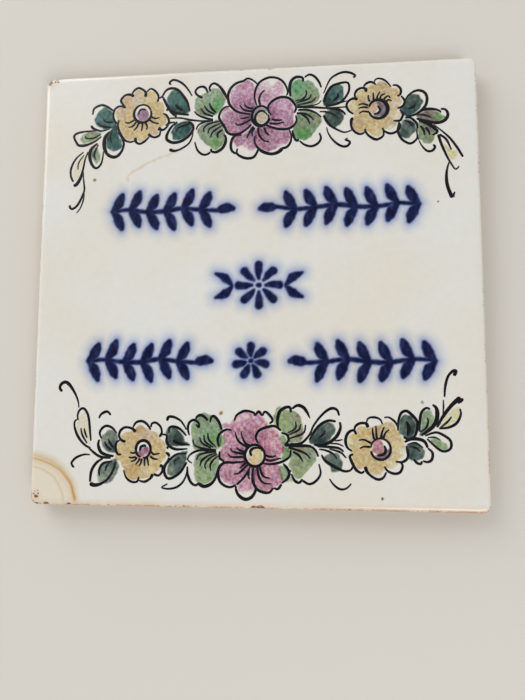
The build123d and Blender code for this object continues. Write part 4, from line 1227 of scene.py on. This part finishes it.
right_yellow_foot = [
    # the eye
    eye_ring(41.4, -55.5, 3.2, 3.4, 175, -345, 0.6, 0.7, 0.8, 0.9, 0.8),
    pull(leaf, (42.5, -54.3), (43, -55.8), (42.3, -57.2), (40.3, -57.6)),
    # the petals' edges, round from the left
    pull(leaf, (32.4, -56.3), (30.8, -55.05), (30.3, -52.8), (31.1, -50.5), (32.9, -49.6), (33.8, -51)),
    pull(curl, (33.1, -49.7), (33.6, -48.2), (35.2, -47.3), (37, -47.5), (37.5, -48.8)),
    pull(vein, (37, -47.1), (37.7, -45.7), (39.5, -45.4), (41.3, -46), (42.2, -47.7)),
    pull(vein, (42.6, -45.5), (44.1, -45.4), (45.9, -46.6), (46.9, -48.4), (47, -49.7)),
    pull(petal, (49.5, -54.3), (50, -56.6), (49.7, -58.4), (48.2, -59.5), (46, -59.4)),
    pull(edge, (47.4, -59.3), (48.2, -60.7), (47.4, -62.7), (45.6, -63.2), (43.6, -62.45), (42.4, -60.9)),
    pull(curl, (43.1, -62.7), (42.1, -64.5), (40.5, -65.1), (38.5, -64.2), (37, -62.7), (36.4, -61)),
    pull(leaf, (36.2, -62.45), (35.2, -63.1), (33.6, -62.2), (32.4, -60.15), (31.6, -57.9), (32.75, -57.2)),
    # the stamens
    pull(stamen, (34.5, -52.8), (36.2, -52.6), (38.5, -53.7)),
    pull(stamen, (34.7, -55.4), (36.2, -54.8), (38.2, -54.9)),
    pull(stamen, (38.9, -48.7), (39, -50.4), (39.4, -52.6)),
    pull(stamen, (40, -48), (40.1, -49.8), (40.2, -52.3)),
    pull(stamen, (42.7, -48.4), (42, -50), (41.5, -52.2)),
    pull(stamen, (44.2, -49.3), (43, -50.4), (42.2, -52.3)),
]

right_sprig_foot = [
    pull(leaf, (47, -49.7), (47.15, -46.8), (48, -44.1), (49.5, -43.3), (50.5, -43.7), (52.4, -45.6),
         (53.2, -47.4), (52.4, -50.9), (50.4, -52.35), (48.6, -51.5)),
    pull(bold, (49.6, -46.6), (50.4, -48.4), (50, -51.3)),
    pull(barb, (53.75, -50), (53.9, -46.8), (54.5, -43.8), (55.95, -42.4), (57.3, -42.7)),
    pull((0.7, 1.4, 1.4, 1.2, 0.7), (58, -41.2), (59.3, -42.7), (59.2, -45.9), (57.7, -48.5),
         (54.2, -51.2)),
    pull(vein, (56.2, -45.3), (56.5, -46.8), (55.7, -48.8), (53.9, -50)),
    pull((0.7, 1.1, 1.2, 1.6), (59.2, -48.5), (61.2, -45), (63.9, -41.5), (66.8, -38.9)),
    pull(fall, (67.5, -39.2), (66.9, -40.2), (65.9, -40.9)),
    pull(barb, (66.5, -42.4), (66.7, -44.4), (65.3, -47.1), (62.7, -48.5), (59.8, -48.8)),
    pull(vein, (63.9, -45), (62.4, -46.8), (60.1, -48.7)),
    pull(curl, (61.8, -38.9), (62.1, -35.6), (63, -32.4), (64.5, -30.6), (65.6, -30.5), (64.9, -32.1)),
    pull(hair, (61.4, -39.7), (61.4, -42), (61.2, -44.4)),
    pull(edge, (55.4, -51.2), (57.7, -50.3), (59.5, -50.15), (62.1, -51.5), (63.4, -52.9), (63.3, -55),
         (61.5, -56), (59.5, -55.3), (56, -52.1)),
    pull(hair, (56.2, -51.8), (58.3, -51.6), (60.2, -52.5)),
    pull(bold, (48.9, -53.2), (51.3, -52.2), (53.9, -52.35), (55.4, -53.2), (56.2, -55)),
    pull(petal, (56.2, -55), (57.6, -56.5), (57.4, -58.5), (56.2, -59.4), (54.5, -59.1)),
    pull(petal, (51.6, -58.5), (52.7, -59.7), (53.9, -60), (54.3, -59.1)),
    pull(vein, (49.5, -54.4), (49.8, -56.4), (50.1, -58.5)),
    pull(vein, (49.8, -54), (52.4, -53.5), (54.8, -55)),
    pull(vein, (50.1, -54.55), (52.4, -55), (53.9, -56.2)),
]

foot_strokes = left_sprig_foot + left_yellow_foot + left_middle_foot + pink_foot
foot_strokes += right_middle_foot + right_yellow_foot + right_sprig_foot
line_work("garland_foot_line", foot_strokes, manganese_black, "garland_paint")

# The blue bands between the garlands: leaf sprays and small rosettes in cobalt, painted thick in the raw
# glaze with a full brush. Cobalt is a strong flux, so in the firing each stroke bleeds into a pale blue
# haze, and stays near black where it lies thickest.

cobalt_core = absorbed("#171C3A")
cobalt_haze = absorbed("#919DC2")
band_lift = 0.010 * MM  # how far the cobalt stands above the glaze
band_step = 0.3  # between the points of a band, in drawing units, as are the lengths below
brush_reach = 9  # a stroke's distance is worked out this far from its path
far_off = 12.0
core_edge, haze_fade, haze_end, film_end = 0.9, 1.3, 5.4, 7.2


def full_brush(sheet, points, *widths):
    """One thick cobalt stroke: how far each grid point lies outside a round brush of changing width that
    moves along a smooth path. The least distance to any stroke is kept."""
    count = 24 + int(6 * len(points) ** 1.5)
    path = curve_through(points, count)
    width = np.interp(np.linspace(0, 1, count), np.linspace(0, 1, len(widths)), widths)
    part = window(sheet, path, brush_reach)
    away = np.hypot(sheet["x"][part][..., None] - path[:, 0], sheet["y"][part][..., None] - path[:, 1])
    sheet["away"][part] = np.minimum(sheet["away"][part], (away - width / 2).min(-1))


def leaf_spray(sheet, start, end, middle, pairs):
    """A branch that grows from start to end along a gently waved stem, with a pair of drop-shaped leaves at
    each node, lying forward along it, and a single leaf at its tip."""
    grow = np.sign(end - start)
    along = np.linspace(start, end - grow * 6.5, pairs + 1)
    wave = middle + 0.6 * np.sin(np.arange(pairs + 1) * 1.9)
    full_brush(sheet, np.stack([along, wave], -1), 1.1, 1.5, 1.2)
    tip = [(along[-1], wave[-1]), (end - grow * 3, middle + 0.3), (end - grow, middle)]
    full_brush(sheet, tip, 0.9, 3.0, 3.2, 1.6)
    for x, y in zip(along[:-1], wave[:-1]):
        for side in (1, -1):
            reach = 5.9 - 0.3 * np.cos(x * 1.7 + side)
            blade = [(x, y), (x + grow * 2.1, y + side * 2.4), (x + grow * 3.6, y + side * reach)]
            full_brush(sheet, blade, 0.9, 2.2, 3.3, 3.0, 1.4)


def rosette(sheet, x, y, reach, petals):
    """A round flower: drop-shaped petals set evenly about an open eye, with a dot in it."""
    for turn in np.arange(petals) * 2 * np.pi / petals + np.pi / 2:
        out = np.array([np.cos(turn), np.sin(turn)])
        side = np.array([-out[1], out[0]])
        stem = np.array([x, y]) + out * reach * 0.34
        tip = np.array([x, y]) + out * reach
        full_brush(sheet, [stem, (stem + tip) / 2 + side * 0.15, tip], 0.9, 2.2, 2.6)
    full_brush(sheet, [(x - 0.2, y), (x + 0.2, y)], 1.4, 1.4)


def cobalt_band(left, right, bottom, top):
    """A clean stretch of face for one band of blue, with the brush still far from every point."""
    sheet = blank_sheet(left, right, bottom, top, band_step)
    sheet["away"] = np.full(sheet["x"].shape, far_off)
    return sheet


def bleed(sheet):
    """Turns the distance to the strokes into stain: dark inside with streaks where the brush dragged, falling
    over the width of the rim to a haze that dies away exponentially over the next few millimetres."""
    x, y = sheet["x"], sheet["y"]
    away = sheet["away"] + 0.08 * ripple(x, y, 3.2, seed=21)
    streaks = 0.86 + 0.16 * ripple(x, y * 0.45, 2.2, seed=23)
    core = smooth_step(0.5 - away / core_edge) * streaks
    haze = np.exp(-np.clip(away, 0, None) / haze_fade) * (1 + 0.15 * ripple(x, y, 6, seed=25))
    haze = haze * smooth_step((haze_end - away) / 2.5)
    sheet["near"] = smooth_step((film_end - away) / film_margin)
    sheet["stain"] = core[..., None] * cobalt_core + haze[..., None] * cobalt_haze
    sheet["grain"] = 0.10 * np.clip(core + 0.5 * haze, 0, 1)


upper_band = cobalt_band(-58, 64, 10, 40)
leaf_spray(upper_band, -49.5, -6.0, 25.2, 6)
leaf_spray(upper_band, 55.5, 1.5, 25.0, 7)
middle_band = cobalt_band(-22, 26, -17, 14)
rosette(middle_band, 2, -1.5, 6.9, 8)
for side in (1, -1):
    for leaf_y in ((-1.6, 1.2, 2.6), (-1.8, -4.4, -5.6)):
        leaf_x = 2 + side * np.array([9, 11.6, 14.6])
        full_brush(middle_band, np.stack([leaf_x, leaf_y], -1), 0.8, 2.9, 0.9)
lower_band = cobalt_band(-65, 68, -42, -12)
leaf_spray(lower_band, -56.5, -13.0, -27.0, 6)
leaf_spray(lower_band, 59.5, 11.5, -27.2, 6)
rosette(lower_band, -0.6, -27.0, 5.0, 7)

cobalt = in_glaze_colour("in_glaze_cobalt", 1.2 * MM)
for band_name, band in (("upper", upper_band), ("middle", middle_band), ("lower", lower_band)):
    bleed(band)
    paint_film(f"cobalt_band_{band_name}", band, cobalt, "cobalt_paint", band_lift)

# The stage: a plain pale floor that the plaque lies on, and soft studio light. A broad lamp stands low
# beyond the upper left corner, so the rolled edge there shines. The sky fills the rest, brightest near the
# horizon, and is dark overhead, where the level face would mirror it.

floor_reach = 2.0
floor_corners = np.array([(-1, -1, 0), (1, -1, 0), (1, 1, 0), (-1, 1, 0)]) * floor_reach
floor_mesh = bpy.data.meshes.new("floor")
floor_mesh.from_pydata(floor_corners.tolist(), [], [(0, 1, 2, 3)])
floor_paint, _, floor_shader = new_surface("pale_floor", 0.8)
floor_shader.inputs["Base Color"].default_value = rgba("#D4D0C9")
floor_mesh.materials.append(floor_paint)
floor = bpy.data.objects.new("floor", floor_mesh)
bpy.context.scene.collection.objects.link(floor)

world = bpy.data.worlds.new("even_sky")
bpy.context.scene.world = world
world.use_nodes = True
sky = world.node_tree.nodes["Background"]
sky.inputs["Color"].default_value = rgba("#F6F8FA")
aim = add(world.node_tree, "TexCoord").outputs["Generated"]
height = add(world.node_tree, "SeparateXYZ", {0: aim}).outputs["Z"]
dome = add(world.node_tree, "MapRange", {
    "Value": height, "From Min": 0.55, "From Max": 0.95, "To Min": 0.88, "To Max": 0.12,
}, interpolation_type="SMOOTHSTEP")
world.node_tree.links.new(dome.outputs[0], sky.inputs["Strength"])


def soft_lamp(name, place, aim, width, power, colour):
    """A square studio lamp of this width at a place, facing a point, all in metres."""
    lamp = bpy.data.lights.new(name, "AREA")
    lamp.size = width
    lamp.energy = power
    lamp.color = linear(colour)
    stand = bpy.data.objects.new(name, lamp)
    bpy.context.scene.collection.objects.link(stand)
    stand.location = place
    facing = np.array(aim) - np.array(place)
    stand.rotation_euler = Vector(facing).to_track_quat("-Z", "Y").to_euler()


soft_lamp("key_lamp", (-1.02, 1.15, 0.72), (0, 0, 0), 1.3, 18.5, "#FFFBF5")
soft_lamp("side_lamp", (0.55, -1.05, 1.05), (0, 0, 0), 0.8, 10.5, "#FFFAF4")

# The camera: a phone held over the plaque, a little below and right of its middle, and tipped back towards
# it. Its place, tilt and lens were solved from the four edges of the face in the photograph.

camera_place = np.array([18.3, -38.8, 179.0]) * MM
camera_look = np.array([-0.0866, 0.0882, -0.9923])
camera_up = np.array([0.0051, 0.9961, 0.0881])
focal_pixels, frame_height, sensor_height = 526, 700, 36.0
lens = bpy.data.cameras.new("camera")
lens.sensor_fit = "VERTICAL"
lens.sensor_height = sensor_height
lens.lens = focal_pixels / frame_height * sensor_height
lens.clip_start = 0.005
camera = bpy.data.objects.new("camera", lens)
bpy.context.scene.collection.objects.link(camera)
camera_right = np.cross(camera_look, camera_up)
camera_right = camera_right / np.linalg.norm(camera_right)
camera_back = -camera_look / np.linalg.norm(camera_look)
turned = np.eye(4)
turned[:3] = np.stack([camera_right, np.cross(camera_back, camera_right), camera_back, camera_place], -1)
camera.matrix_world = Matrix(turned.tolist())
bpy.context.scene.camera = camera
bpy.context.scene.view_settings.view_transform = "Standard"
